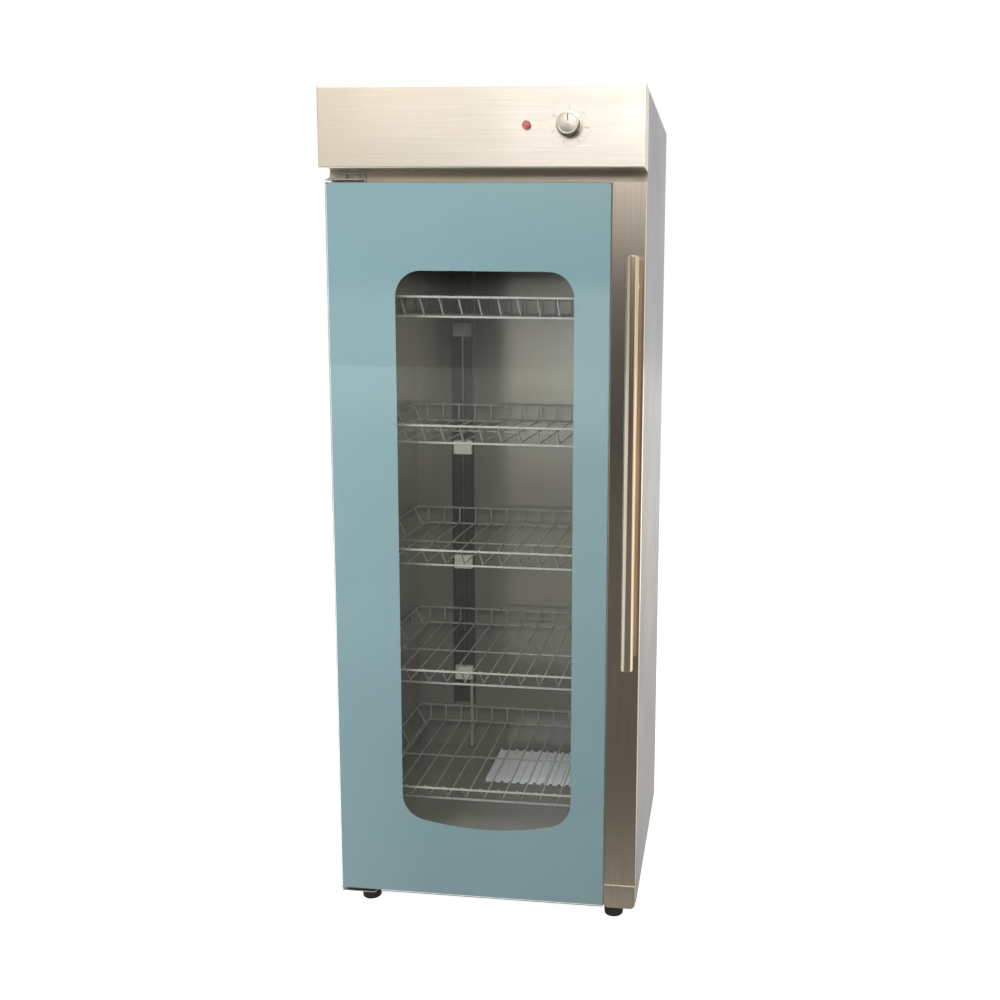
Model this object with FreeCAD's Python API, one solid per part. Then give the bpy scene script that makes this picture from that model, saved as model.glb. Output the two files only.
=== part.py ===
"""Single-door dish sterilizer cabinet: a tall insulated steel cabinet with a printed glass door,
five wire racks, a vertical infrared heater on the back wall and a control head with a timer knob.

Millimetres. +X is the handle side, +Y the back, +Z up. The origin is the bottom centre of the
overall box, on the floor between the feet. The door closes against the front of the body.
"""
import FreeCAD, Part
import math
import os

V = FreeCAD.Vector

# ---------------------------------------------------------------- overall sizes
cabinet_width = 640.0
cabinet_height = 1716.0
cabinet_depth = 555.0        # closed door's face to the back panel's outer face
foot_height = 39.0
head_height = 154.0
head_reach = 33.0            # how far the control head stands in front of the door
handle_reach = 62.5          # how far the handle stands in front of the door
gland_reach = 20.0           # how far the cable gland stands behind the back panel

# ---------------------------------------------------------------- sheet, walls and clearances
skin = 1.0                   # outer steel sheet
liner_skin = 0.8             # chamber sheet
wall_gap = 22.0              # side panel's outer face to the chamber
back_gap = 25.0              # back panel's outer face to the chamber
ceiling_gap = 66.0           # underside of the head to the chamber's ceiling
chamber_floor_rise = 116.0   # underside of the body to the chamber's floor
partition_drop = 25.0        # underside of the head to the electrical partition
fit_gap = 0.3                # clearance round soft pieces
running_gap = 0.05           # radial clearance of shafts and pins that turn
screw_gap = 0.1              # radial clearance of screws and of pins that don't turn
bend_radius = 3.0            # outer radius of the folds that show
flange = 18.0                # width of hidden folded flanges
past = 1.0                   # how far a cut runs past the face it opens
small_round = 1.0            # softened edges of small pieces
close = 0.01                 # how near an edge is to the place or the direction that a test names

# ---------------------------------------------------------------- door
door_top_gap = 22.0          # door's top edge to the head
door_bottom_gap = 3.0        # body's underside to the door's bottom edge
door_thickness = 24.0
seal_space = 6.0             # door's back to the front of the body
glass_thickness = 5.0
glass_corner = 5.0
glass_arris = 0.8
print_thickness = 0.4
tape_thickness = 1.0
tape_width = 12.0
band_width = 66.5            # brushed steel band at the handle side
band_to_glass = 0.5
band_bend = 2.0              # outer radius of the band's folds
end_cap_height = 36.0
end_cap_slope = 15.0
end_cap_proud = 1.0
end_cap_corner = 10.0
frame_margin = 1.0           # door frame's edge inside the glass's edge
stile_left = 60.0
stile_right = 96.0
rail_top = 49.0
rail_bottom = 103.0

# clear window in the printed glass
window_half_width = 181.0
window_top_margin = 172.0    # door's top edge to the window
window_bottom_margin = 154.0 # door's bottom edge to the window's lowest point
window_top_radius = 52.0
window_bottom_radius = 56.0
window_sag_radius = 640.0

# seal
seal_width = 12.0
seal_from_edge = 8.0         # cabinet's side to the seal
seal_top_margin = 22.0       # door's top edge to the seal
seal_bottom_margin = 82.0    # door's bottom edge to the seal
seal_round = 1.8

# hinges
hinge_from_edge = 8.0        # door's left edge to the hinge axis
hinge_depth = 13.0           # door's face to the hinge axis
hinge_pin_radius = 4.0
hinge_pin_reach = 18.0       # how far a pin reaches into the door
hinge_head_radius = 6.0
hinge_head_height = 3.0
bush_radius = 5.5
bush_flange_radius = 6.4
bracket_length = 75.0
bracket_thickness = 2.5
bracket_leg = 15.0
bracket_round = 3.0
bracket_overhang = 1.0       # bracket's front edge behind the door's face
bracket_screws_at = (35.0, 62.0)   # from the cabinet's left side

# door catch
catch_length = 40.0
catch_height = 10.0
catch_from_edge = 55.0
catch_from_top = 4.0

# handle
handle_radius = 12.5
handle_wall = 1.2
handle_length = 816.0
handle_bottom = 540.0        # door's bottom edge to the handle's lower end
handle_from_edge = 20.0      # door's right edge to the handle's axis
handle_cap = 2.0
handle_cap_round = 1.2
handle_plug = 10.0
handle_post_inset = 60.0
handle_post_radius = 7.0
handle_foot_radius = 11.0
handle_foot_height = 3.0
handle_screw_radius = 3.0
handle_screw_depth = 16.0

# ---------------------------------------------------------------- control head
control_height = 79.5        # underside of the head to the centre of knob and lamp
knob_x = 175.0
knob_radius = 25.0
knob_grip_radius = 22.0
knob_height = 22.0
knob_skirt = 4.0
knob_recess = 7.0
knob_wall = 4.0
knob_lift = 1.0              # knob's back to the dial
knob_round = 2.0
knob_taper = 1.0
knob_face_radius = 18.5
knob_face_thickness = 0.8
knob_front_wall = 3.0
dial_radius = 40.0
dial_thickness = 0.6
shaft_radius = 3.0
shaft_depth = 24.0
timer_size = 50.0
timer_depth = 44.0
timer_round = 3.0
timer_neck_radius = 4.8
timer_neck = 4.0
lamp_x = 93.0
lamp_hole_radius = 7.0
lamp_bezel_radius = 9.5
lamp_bezel_height = 2.2
lamp_bezel_round = 0.8
lamp_lens_radius = 5.8
lamp_lens_rise = 4.0
lamp_body_radius = 8.5
lamp_body_depth = 28.0
lamp_sleeve = 10.0
vent_count = 12
vent_width = 5.0
vent_height = 50.0
vent_pitch = 14.0

# ---------------------------------------------------------------- chamber contents
rack_count = 5
rack_pitch = 262.0
lowest_rim_rise = 114.0      # chamber's floor to the lowest rack's rim
rack_depth_of_tray = 40.0
rack_side_gap = 3.5          # rim wire to the chamber's wall
rack_side_flare = 20.0
rack_front_flare = 38.0
rack_front_gap = 4.0         # body's front face to the rim
rim_wire = 5.0               # diameters
fill_wire = 3.5
cross_wire = 4.0
weld_sink = 0.5
rack_fill_count = 14
rack_fill_margin = 8.75      # side wire of a rack's base to its first fill wire
rack_side_posts = (50.0, 179.0, 311.0, 446.0)   # from the rack's front
rack_corner = 12.0
rack_bend = 12.0
stud_radius = 4.0
stud_length = 13.0
stud_collar_radius = 6.0
stud_collar = 1.5
stud_places = (96.0, 386.0)  # from the rack's front

channel_width = 53.0
channel_depth = 18.0
channel_x = -176.5
channel_bottom_rise = 118.0  # chamber's floor to the channel
channel_top_drop = 20.0      # chamber's ceiling to the channel
holder_count = 4
holder_first_rise = 201.0    # chamber's floor to the lowest holder's centre
holder_pitch = 295.0
holder_width = 46.0
holder_height = 34.0
holder_groove = 3.0
holder_groove_rise = 4.0     # holder's centre to its groove
tube_radius = 5.5
tube_wall = 1.0
tube_engage = 10.0
lead_radius = 4.0
lead_hole_gap = 2.0          # round the leads where they pass a sheet
lead_from_channel_edge = 8.0
lead_bend = 34.0
base_lead_rise = 46.0        # body's underside to the lead in the base
grommet_flange = 3.0
grommet_lip = 1.5

tray_width = 320.0
tray_depth = 185.0
tray_from_back = 25.0
tray_x = 85.0
tray_sheet = 1.2
tray_rib_height = 4.0
tray_rib_top = 5.0
tray_rib_foot = 9.0
tray_rib_pitch = 20.0
tray_rim = 8.0

# ---------------------------------------------------------------- base, feet and wiring
foot_radius = 22.0
foot_bottom_radius = 20.0
foot_inset_x = 50.0          # cabinet's side to a foot's centre
foot_front_inset = 54.0      # door's face to a front foot's centre
foot_back_inset = 50.0
foot_bolt_radius = 3.0
foot_bolt_head_radius = 6.0
foot_bolt_head = 5.0
foot_bore_radius = 8.0
foot_bore_depth = 14.0
foot_nut_radius = 5.5
foot_nut_height = 5.0
foot_bolt_tip = 2.0          # thread past the nut
foot_round = 2.0

terminal_x = 185.0
terminal_length = 60.0
terminal_depth = 40.0
terminal_from_back = 8.0
gland_from_side = 50.0       # cabinet's right side to the gland
gland_rise = 42.0
gland_radius = 10.0
gland_nut_radius = 13.0
gland_nut = 6.0
gland_round = 4.0
gland_bore = 4.5
gland_inside = 12.0
lead_slot = 20.0
lead_head_rise = 54.0        # underside of the head to the lead's run in it
sensor_radius = 12.0
sensor_height = 11.0
sensor_flange_radius = 16.0
sensor_flange = 1.5
sensor_from_back = 60.0
slab_setback = 100.0         # insulation ends this far in front of the back panel, over and under

screw_radius = 2.0
screw_head_radius = 4.0
screw_head = 2.2
screw_length = 8.0
back_screw_rows = 6
back_screw_margin = 60.0

# ---------------------------------------------------------------- derived places
half_width = cabinet_width / 2
overall_depth = handle_reach + cabinet_depth + gland_reach
door_face = -overall_depth / 2 + handle_reach
door_back = door_face + door_thickness
body_front = door_back + seal_space
body_back = door_face + cabinet_depth
head_face = door_face - head_reach
body_bottom = foot_height
body_top = cabinet_height
head_bottom = body_top - head_height
door_top = head_bottom - door_top_gap
door_bottom = body_bottom + door_bottom_gap
chamber_half = half_width - wall_gap
chamber_back = body_back - back_gap
chamber_front = body_front + skin
chamber_floor = body_bottom + chamber_floor_rise
chamber_ceiling = head_bottom - ceiling_gap
glass_right = half_width - band_width - band_to_glass
print_back = door_face + glass_thickness + print_thickness
frame_front = print_back + tape_thickness
frame_back = door_back - skin
control_z = head_bottom + control_height
rim_heights = [chamber_floor + lowest_rim_rise + i * rack_pitch for i in range(rack_count)]
handle_x = half_width - handle_from_edge
handle_y = door_face - handle_reach + handle_radius
handle_z0 = door_bottom + handle_bottom
handle_z1 = handle_z0 + handle_length
handle_post_heights = (handle_z0 + handle_post_inset, handle_z1 - handle_post_inset)
hinge_x = -half_width + hinge_from_edge
hinge_y = door_face + hinge_depth
partition_z = head_bottom - partition_drop
channel_front = chamber_back - channel_depth
channel_left = channel_x - channel_width / 2
channel_right = channel_x + channel_width / 2
lead_x = channel_right - lead_from_channel_edge
tube_y = chamber_back - (channel_depth + skin) / 2
holder_heights = [chamber_floor + holder_first_rise + i * holder_pitch for i in range(holder_count)]
foot_centres = [(sx * (half_width - foot_inset_x), y) for sx in (-1, 1)
                for y in (door_face + foot_front_inset, body_back - foot_back_inset)]
rack_front = body_front + rack_front_gap
rack_back = channel_front - rim_wire / 2 - rack_front_gap / 2
wiring_y = chamber_back + (back_gap - skin) / 2
gland_x = half_width - gland_from_side


# ---------------------------------------------------------------- shape helpers
def block(x0, x1, y0, y1, z0, z1):
    """A box from its lowest to its highest corner, given in any order."""
    low = V(min(x0, x1), min(y0, y1), min(z0, z1))
    return Part.makeBox(abs(x1 - x0), abs(y1 - y0), abs(z1 - z0), low)


def rod(radius, start, end):
    """A round bar between two points."""
    a, b = V(*start), V(*end)
    return Part.makeCylinder(radius, (b - a).Length, a, b - a)


def fuse(shapes):
    """One solid from several that touch or overlap."""
    whole = shapes[0].multiFuse(shapes[1:]) if len(shapes) > 1 else shapes[0]
    return whole.removeSplitter()


def at(axis, place):
    """A test for edges whose centre lies at a place along an axis."""
    return lambda edge: abs(getattr(edge.CenterOfMass, axis) - place) < close


def runs(axis):
    """A test for edges that start along an axis."""
    line = V(axis == "x", axis == "y", axis == "z")
    return lambda edge: edge.tangentAt(edge.FirstParameter).cross(line).Length < close


def longer(length):
    """A test for edges over a length."""
    return lambda edge: edge.Length > length


def round_edges(shape, radius, *tests):
    """Rounds the edges that pass every test."""
    edges = [edge for edge in shape.Edges if all(test(edge) for test in tests)]
    return shape.makeFillet(radius, edges)


def swept(points, radius, bend):
    """A round wire or tube along straight runs joined by tangent arcs."""
    corners = [V(*p) for p in points]
    edges, at = [], corners[0]
    for before, here, after in zip(corners, corners[1:], corners[2:]):
        into, out = (here - before).normalize(), (after - here).normalize()
        half_turn = into.getAngle(out) / 2
        cut = bend * math.tan(half_turn)
        start, end = here - into * cut, here + out * cut
        towards = (out - into).normalize()
        middle = here + towards * (bend / math.cos(half_turn) - bend)
        edges.append(Part.LineSegment(at, start).toShape())
        edges.append(Part.Arc(start, middle, end).toShape())
        at = end
    edges.append(Part.LineSegment(at, corners[-1]).toShape())
    first = (corners[1] - corners[0]).normalize()
    ring = Part.Wire([Part.makeCircle(radius, corners[0], first)])
    return Part.Wire(edges).makePipeShell([ring], True, False)


def closed_wire(x0, x1, y0, y1, z, radius, corner):
    """A rectangular ring of round wire with rounded corners, lying level."""
    path = rounded_outline(x0, x1, y0, y1, corner, z)
    ring = Part.Wire([Part.makeCircle(radius, V((x0 + x1) / 2, y0, z), V(1, 0, 0))])
    return path.makePipeShell([ring], True, False)


def rounded_outline(x0, x1, y0, y1, corner, z):
    """A level rectangle with rounded corners, from the middle of its front side."""
    reach = corner * (1 - math.sqrt(0.5))
    mid = (x0 + x1) / 2
    marks = [
        (V(mid, y0, z), V(x1 - corner, y0, z), V(x1 - reach, y0 + reach, z), V(x1, y0 + corner, z)),
        (V(x1, y0 + corner, z), V(x1, y1 - corner, z), V(x1 - reach, y1 - reach, z), V(x1 - corner, y1, z)),
        (V(x1 - corner, y1, z), V(x0 + corner, y1, z), V(x0 + reach, y1 - reach, z), V(x0, y1 - corner, z)),
        (V(x0, y1 - corner, z), V(x0, y0 + corner, z), V(x0 + reach, y0 + reach, z), V(x0 + corner, y0, z)),
    ]
    edges = []
    for run_start, run_end, arc_middle, arc_end in marks:
        edges.append(Part.LineSegment(run_start, run_end).toShape())
        edges.append(Part.Arc(run_end, arc_middle, arc_end).toShape())
    edges.append(Part.LineSegment(V(x0 + corner, y0, z), V(mid, y0, z)).toShape())
    return Part.Wire(edges)


def screw(head_centre, towards, head_radius, head_height, radius, length):
    """A pan-head screw: head_centre is under the head, and the shank runs towards."""
    way = V(*towards)
    base = V(*head_centre)
    head = Part.makeCylinder(head_radius, head_height, base - way * head_height, way)
    return head.fuse(Part.makeCylinder(radius, length, base, way)).removeSplitter()


NODES = {}


def keep(name, shapes):
    """Stores one solid, or a group of separate solids, as a node."""
    NODES[name] = shapes if isinstance(shapes, list) else [shapes]


# ---------------------------------------------------------------- body shell
back_screw_heights = [
    body_bottom + back_screw_margin
    + i * (body_top - body_bottom - 2 * back_screw_margin) / (back_screw_rows - 1)
    for i in range(back_screw_rows)
]
back_screw_places = [(sx * (half_width - skin - flange / 2), z)
                     for sx in (-1, 1) for z in back_screw_heights]
hinge_screw_xs = [-half_width + d for d in bracket_screws_at]
bracket_top_z = door_top + door_bottom_gap
bracket_screw_heights = (bracket_top_z + bracket_thickness + bracket_leg / 2,
                         body_bottom + bracket_leg / 2)
hinge_screw_places = [(x, z) for x in hinge_screw_xs for z in bracket_screw_heights]


def drill_hinge_screws(shape):
    """Holes along Y for the screws of both hinge brackets."""
    for x, z in hinge_screw_places:
        ends = ((x, door_back, z), (x, body_front + flange, z))
        shape = shape.cut(rod(screw_radius + screw_gap, *ends))
    return shape


def side_panel(side):
    """Full-height side: outer sheet, front flange that the seal meets and rear flange."""
    outer, inner = side * half_width, side * (half_width - skin)
    sheet = block(inner, outer, body_front, body_back, body_bottom, body_top)
    front = block(side * chamber_half, outer, body_front, body_front + skin, body_bottom, head_bottom)
    rear_y = body_back - 2 * skin
    rear = block(side * (half_width - skin - flange), outer, rear_y, rear_y + skin,
                 body_bottom + skin, body_top - skin)
    panel = fuse([sheet, front, rear])
    for x, z in back_screw_places:
        if x * side > 0:
            panel = panel.cut(rod(screw_radius + screw_gap, (x, rear_y - skin, z), (x, body_back, z)))
    return panel


def back_panel():
    """Rear sheet with vents behind the head and a hole for the cable gland."""
    panel = block(-half_width + skin, half_width - skin, body_back - skin, body_back,
                  body_bottom, body_top - skin)
    inside, outside = body_back - skin - past, body_back + past
    for x, z in back_screw_places:
        panel = panel.cut(rod(screw_radius + screw_gap, (x, inside, z), (x, outside, z)))
    middle = head_bottom + head_height / 2
    for i in range(vent_count):
        x = (i - (vent_count - 1) / 2) * vent_pitch
        reach = vent_height / 2 - vent_width / 2
        slot = block(x - vent_width / 2, x + vent_width / 2, inside, outside, middle - reach, middle + reach)
        for z in (middle - reach, middle + reach):
            slot = slot.fuse(rod(vent_width / 2, (x, inside, z), (x, outside, z)))
        panel = panel.cut(slot)
    gland_z = body_bottom + gland_rise
    return panel.cut(rod(gland_radius + screw_gap, (gland_x, inside, gland_z), (gland_x, outside, gland_z)))


def top_cover():
    """Roof sheet with flanges turned down inside the side panels."""
    edge = half_width - skin
    roof = block(-edge, edge, body_front, body_back, body_top - skin, body_top)
    sides = [block(s * (edge - skin), s * edge, body_front + skin, body_back - 2 * skin,
                   body_top - skin - flange, body_top - skin) for s in (-1, 1)]
    return fuse([roof] + sides)


def head_fascia():
    """Folded front of the control head, with holes for the timer's neck and the lamp."""
    outer = block(-half_width, half_width, head_face, body_front, head_bottom, body_top)
    outer = round_edges(outer, bend_radius, at("y", head_face))
    inner = block(-half_width + skin, half_width - skin, head_face + skin, body_front + past,
                  head_bottom + skin, body_top - skin)
    inner = round_edges(inner, bend_radius - skin, at("y", head_face + skin))
    pan = outer.cut(inner)
    reach = (head_face - past, head_face + skin + past)
    for x, radius in ((knob_x, timer_neck_radius + screw_gap), (lamp_x, lamp_hole_radius + screw_gap)):
        pan = pan.cut(rod(radius, (x, reach[0], control_z), (x, reach[1], control_z)))
    return pan


def head_partition():
    """Sheet between the insulation and the electrical space, with a hole for the leads."""
    plate = block(-half_width + skin, half_width - skin, chamber_front, body_back - 2 * skin,
                  partition_z, partition_z + skin)
    sides = [block(s * (half_width - 2 * skin), s * (half_width - skin), chamber_front,
                   body_back - 2 * skin, partition_z + skin, partition_z + flange) for s in (-1, 1)]
    plate = fuse([plate] + sides)
    hole = rod(lead_radius + lead_hole_gap, (terminal_x, wiring_y, partition_z - skin),
               (terminal_x, wiring_y, partition_z + 2 * skin))
    return plate.cut(hole)


def front_rail_top():
    """Rail over the door opening, folded back under the head."""
    face = block(-chamber_half, chamber_half, body_front, body_front + skin, chamber_ceiling, head_bottom)
    fold = block(-chamber_half, chamber_half, body_front, body_front + flange,
                 head_bottom - skin, head_bottom)
    return drill_hinge_screws(fuse([face, fold]))


def front_rail_bottom():
    """Rail under the door opening, in front of the base compartment."""
    face = block(-chamber_half, chamber_half, body_front, body_front + skin, body_bottom, chamber_floor)
    fold = block(-chamber_half, chamber_half, body_front, body_front + flange,
                 chamber_floor - liner_skin - skin, chamber_floor - liner_skin)
    return drill_hinge_screws(fuse([face, fold]))


def base_pan():
    """Bottom sheet with side flanges and holes for the foot bolts."""
    edge = half_width - skin
    plate = block(-edge, edge, chamber_front, body_back - skin, body_bottom, body_bottom + skin)
    sides = [block(s * (edge - skin), s * edge, chamber_front, body_back - 2 * skin,
                   body_bottom, body_bottom + flange) for s in (-1, 1)]
    pan = fuse([plate] + sides)
    for x, y in foot_centres:
        ends = ((x, y, body_bottom - past), (x, y, body_bottom + skin + past))
        pan = pan.cut(rod(foot_bolt_radius + screw_gap, *ends))
    return pan


keep("side_panel_left", side_panel(-1))
keep("side_panel_right", side_panel(1))
keep("back_panel", back_panel())
keep("top_cover", top_cover())
keep("head_fascia", head_fascia())
keep("head_partition", head_partition())
keep("front_rail_top", front_rail_top())
keep("front_rail_bottom", front_rail_bottom())
keep("base_pan", base_pan())
keep("panel_screws", [
    screw((x, body_back, z), (0, -1, 0), screw_head_radius, screw_head, screw_radius, screw_length)
    for x, z in back_screw_places])


# ---------------------------------------------------------------- chamber liner and insulation
def liner_floor():
    """Chamber floor with the grommet's hole for the heater lead."""
    edge = chamber_half + liner_skin
    plate = block(-edge, edge, chamber_front, chamber_back + liner_skin,
                  chamber_floor - liner_skin, chamber_floor)
    return plate.cut(rod(lead_radius + grommet_lip, (lead_x, tube_y, chamber_floor - liner_skin - past),
                         (lead_x, tube_y, chamber_floor + past)))


liner_edge = chamber_half + liner_skin
for side, word in ((-1, "left"), (1, "right")):
    liner_side = block(side * chamber_half, side * liner_edge, chamber_front,
                       chamber_back + liner_skin, chamber_floor, chamber_ceiling)
    keep("liner_" + word, liner_side)
keep("liner_back", block(-chamber_half, chamber_half, chamber_back, chamber_back + liner_skin,
                         chamber_floor, chamber_ceiling))
keep("liner_ceiling", block(-liner_edge, liner_edge, chamber_front, chamber_back + liner_skin,
                            chamber_ceiling, chamber_ceiling + liner_skin))
keep("liner_floor", liner_floor())


def insulation_slabs():
    """Mineral wool between the skins, slotted at the back for the control lead."""
    low, high = chamber_floor + fit_gap, chamber_ceiling - fit_gap
    front = chamber_front + fit_gap
    outer, inner = half_width - skin - fit_gap, liner_edge + fit_gap
    slabs = [block(s * inner, s * outer, front, body_back - screw_length - fit_gap, low, high)
             for s in (-1, 1)]
    y0, y1 = chamber_back + liner_skin + fit_gap, body_back - skin - fit_gap
    slot = (terminal_x - lead_slot / 2, terminal_x + lead_slot / 2)
    slabs.append(block(-liner_edge, slot[0], y0, y1, low, high))
    slabs.append(block(slot[1], liner_edge, y0, y1, low, high))
    back = body_back - slab_setback
    slabs.append(block(-liner_edge, liner_edge, front, back, chamber_ceiling + liner_skin + fit_gap,
                       partition_z - fit_gap))
    slabs.append(block(-liner_edge, liner_edge, body_front + flange + fit_gap, back,
                       chamber_floor - wall_gap, chamber_floor - liner_skin - fit_gap))
    return slabs


keep("insulation_slabs", insulation_slabs())


# ---------------------------------------------------------------- feet
def foot_pad(x, y):
    """Tapered rubber foot with a counterbore for its bolt."""
    pad = Part.makeCone(foot_bottom_radius, foot_radius, foot_height, V(x, y, 0))
    pad = round_edges(pad, foot_round, at("z", 0), longer(foot_radius))
    pad = pad.cut(rod(foot_bore_radius, (x, y, 0), (x, y, foot_bore_depth)))
    return pad.cut(rod(foot_bolt_radius + screw_gap, (x, y, 0), (x, y, foot_height)))


foot_bolts = []
for x, y in foot_centres:
    head_z = foot_bore_depth
    nut_z = body_bottom + skin
    foot_bolts.append(screw((x, y, head_z), (0, 0, 1), foot_bolt_head_radius, foot_bolt_head,
                            foot_bolt_radius, nut_z + foot_nut_height + foot_bolt_tip - head_z))
    nut = Part.makeCylinder(foot_nut_radius, foot_nut_height, V(x, y, nut_z))
    nut = nut.cut(rod(foot_bolt_radius + screw_gap, (x, y, nut_z), (x, y, nut_z + foot_nut_height)))
    foot_bolts.append(nut)
keep("foot_pads", [foot_pad(x, y) for x, y in foot_centres])
keep("foot_bolts", foot_bolts)


# ---------------------------------------------------------------- hinges
def hinge_bracket(plate_z, leg_z0, leg_z1):
    """Angle bracket: a plate over or under the door and a leg screwed to the rail."""
    x0, x1 = -half_width, -half_width + bracket_length
    plate = block(x0, x1, door_face + bracket_overhang, body_front, plate_z, plate_z + bracket_thickness)
    leg = block(x0, x1, body_front - bracket_thickness, body_front, leg_z0, leg_z1)
    bracket = fuse([plate, leg])
    bracket = round_edges(bracket, bracket_round, at("y", door_face + bracket_overhang), runs("z"))
    bracket = bracket.cut(rod(hinge_pin_radius + screw_gap / 2, (hinge_x, hinge_y, plate_z - past),
                              (hinge_x, hinge_y, plate_z + bracket_thickness + past)))
    return drill_hinge_screws(bracket)


def hinge_pin(head_z, way):
    """Headed pin: head_z is the bracket's face under the head."""
    reach = bracket_thickness + door_bottom_gap + hinge_pin_reach
    return screw((hinge_x, hinge_y, head_z), (0, 0, way), hinge_head_radius, hinge_head_height,
                 hinge_pin_radius, reach)


bracket_bottom_z = body_bottom - bracket_thickness
keep("hinge_brackets", [
    hinge_bracket(bracket_top_z, bracket_top_z, bracket_top_z + bracket_thickness + bracket_leg),
    hinge_bracket(bracket_bottom_z, bracket_bottom_z, body_bottom + bracket_leg)])
keep("hinge_pins", [hinge_pin(bracket_top_z + bracket_thickness, -1), hinge_pin(bracket_bottom_z, 1)])
keep("hinge_screws", [
    screw((x, body_front - bracket_thickness, z), (0, 1, 0), screw_head_radius, screw_head,
          screw_radius, screw_length) for x, z in hinge_screw_places])


def hinge_bush(flange_z0, flange_z1, inner_end):
    """Flanged bush: the flange bears on the frame, the sleeve sits inside it."""
    ring = rod(bush_flange_radius, (hinge_x, hinge_y, flange_z0), (hinge_x, hinge_y, flange_z1))
    sleeve = rod(bush_radius, (hinge_x, hinge_y, flange_z1), (hinge_x, hinge_y, inner_end))
    bore = rod(hinge_pin_radius + running_gap, (hinge_x, hinge_y, min(flange_z0, inner_end) - past),
               (hinge_x, hinge_y, max(flange_z0, inner_end) + past))
    return fuse([ring, sleeve]).cut(bore)


frame_bottom, frame_top = door_bottom + frame_margin, door_top - frame_margin
keep("hinge_bushes", [
    hinge_bush(body_bottom + fit_gap, frame_bottom, frame_bottom + hinge_pin_reach),
    hinge_bush(bracket_top_z - fit_gap, frame_top, frame_top - hinge_pin_reach)])


# ---------------------------------------------------------------- door
frame_left, frame_right = -half_width + frame_margin, half_width - skin
opening = (frame_left + stile_left, frame_right - stile_right,
           frame_bottom + rail_bottom, frame_top - rail_top)


def door_frame():
    """Channel-section frame, open at the back, that the glass is bonded to."""
    x0, x1, z0, z1 = opening
    ring = block(frame_left, frame_right, frame_front, frame_back, frame_bottom, frame_top)
    ring = ring.cut(block(x0, x1, frame_front - past, frame_back + past, z0, z1))
    pocket = block(frame_left + skin, frame_right - skin, frame_front + skin, frame_back + past,
                   frame_bottom + skin, frame_top - skin)
    pocket = pocket.cut(block(x0 - skin, x1 + skin, frame_front, frame_back + 2 * past,
                              z0 - skin, z1 + skin))
    ring = ring.cut(pocket)
    hole = rod(bush_radius + screw_gap / 2, (hinge_x, hinge_y, frame_bottom - past),
               (hinge_x, hinge_y, frame_top + past))
    return ring.cut(hole)


def door_inner_skin():
    """Flat steel sheet that closes the frame towards the chamber."""
    x0, x1, z0, z1 = opening
    sheet = block(frame_left, frame_right, frame_back, door_back, frame_bottom, frame_top)
    return sheet.cut(block(x0, x1, frame_back - past, door_back + past, z0, z1))


def window_face(y):
    """The clear window: round top corners, and a bottom edge that sags in a long arc."""
    top = door_top - window_top_margin
    bottom = door_bottom + window_bottom_margin
    half, rt, rb = window_half_width, window_top_radius, window_bottom_radius
    sag_z = bottom + window_sag_radius
    corner_x = half - rb
    corner_z = sag_z - math.sqrt((window_sag_radius - rb) ** 2 - corner_x ** 2)
    lean = math.atan2(corner_x, sag_z - corner_z)
    meet_x = window_sag_radius * math.sin(lean)
    meet_z = sag_z - window_sag_radius * math.cos(lean)
    turn = (math.pi / 2 + lean) / 2 - lean
    mid_x, mid_z = corner_x + rb * math.cos(turn), corner_z - rb * math.sin(turn)
    step = rt * (1 - math.sqrt(0.5))
    edges = [
        Part.Arc(V(-meet_x, y, meet_z), V(0, y, bottom), V(meet_x, y, meet_z)),
        Part.Arc(V(meet_x, y, meet_z), V(mid_x, y, mid_z), V(half, y, corner_z)),
        Part.LineSegment(V(half, y, corner_z), V(half, y, top - rt)),
        Part.Arc(V(half, y, top - rt), V(half - step, y, top - step), V(half - rt, y, top)),
        Part.LineSegment(V(half - rt, y, top), V(-half + rt, y, top)),
        Part.Arc(V(-half + rt, y, top), V(-half + step, y, top - step), V(-half, y, top - rt)),
        Part.LineSegment(V(-half, y, top - rt), V(-half, y, corner_z)),
        Part.Arc(V(-half, y, corner_z), V(-mid_x, y, mid_z), V(-meet_x, y, meet_z)),
    ]
    return Part.Face(Part.Wire([e.toShape() for e in edges]))


def door_glass():
    """Toughened pane with small round corners and ground edges."""
    pane = block(-half_width, glass_right, door_face, door_face + glass_thickness, door_bottom, door_top)
    pane = round_edges(pane, glass_corner, runs("y"))
    rims = [edge for edge in pane.Edges if at("y", door_face)(edge)]
    return pane.makeChamfer(glass_arris, rims)


def glass_print():
    """Ceramic colour fired on the back of the glass, with the window left clear."""
    inset = 2 * glass_arris
    layer = block(-half_width + inset, glass_right - inset, door_face + glass_thickness, print_back,
                  door_bottom + inset, door_top - inset)
    layer = round_edges(layer, glass_corner, runs("y"))
    cutter = window_face(door_face).extrude(V(0, door_thickness, 0))
    return layer.cut(cutter)


def bonding_tape():
    """Ring of foam tape between the print and the frame."""
    x0, x1 = frame_left + frame_margin, glass_right - 2 * frame_margin
    z0, z1 = frame_bottom + frame_margin, frame_top - frame_margin
    ring = block(x0, x1, print_back, frame_front, z0, z1)
    return ring.cut(block(x0 + tape_width, x1 - tape_width, print_back - past, frame_front + past,
                          z0 + tape_width, z1 - tape_width))


band_left = half_width - band_width
cap_top = door_bottom + end_cap_height


def band_section(z0, z1, proud):
    """Folded section of the steel band between two heights, open towards the frame."""
    front = door_face - proud
    outer = block(band_left, half_width, front, door_back, z0, z1)
    outer = round_edges(outer, band_bend, at("y", front), runs("z"))
    hollow = block(band_left + skin, frame_right, door_face + skin, door_back + past, z0 - past, z1 + past)
    left_cut = block(band_left - past, band_left + skin + past, frame_front, door_back + past,
                     z0 - past, z1 + past)
    return outer.cut(hollow).cut(left_cut)


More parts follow.
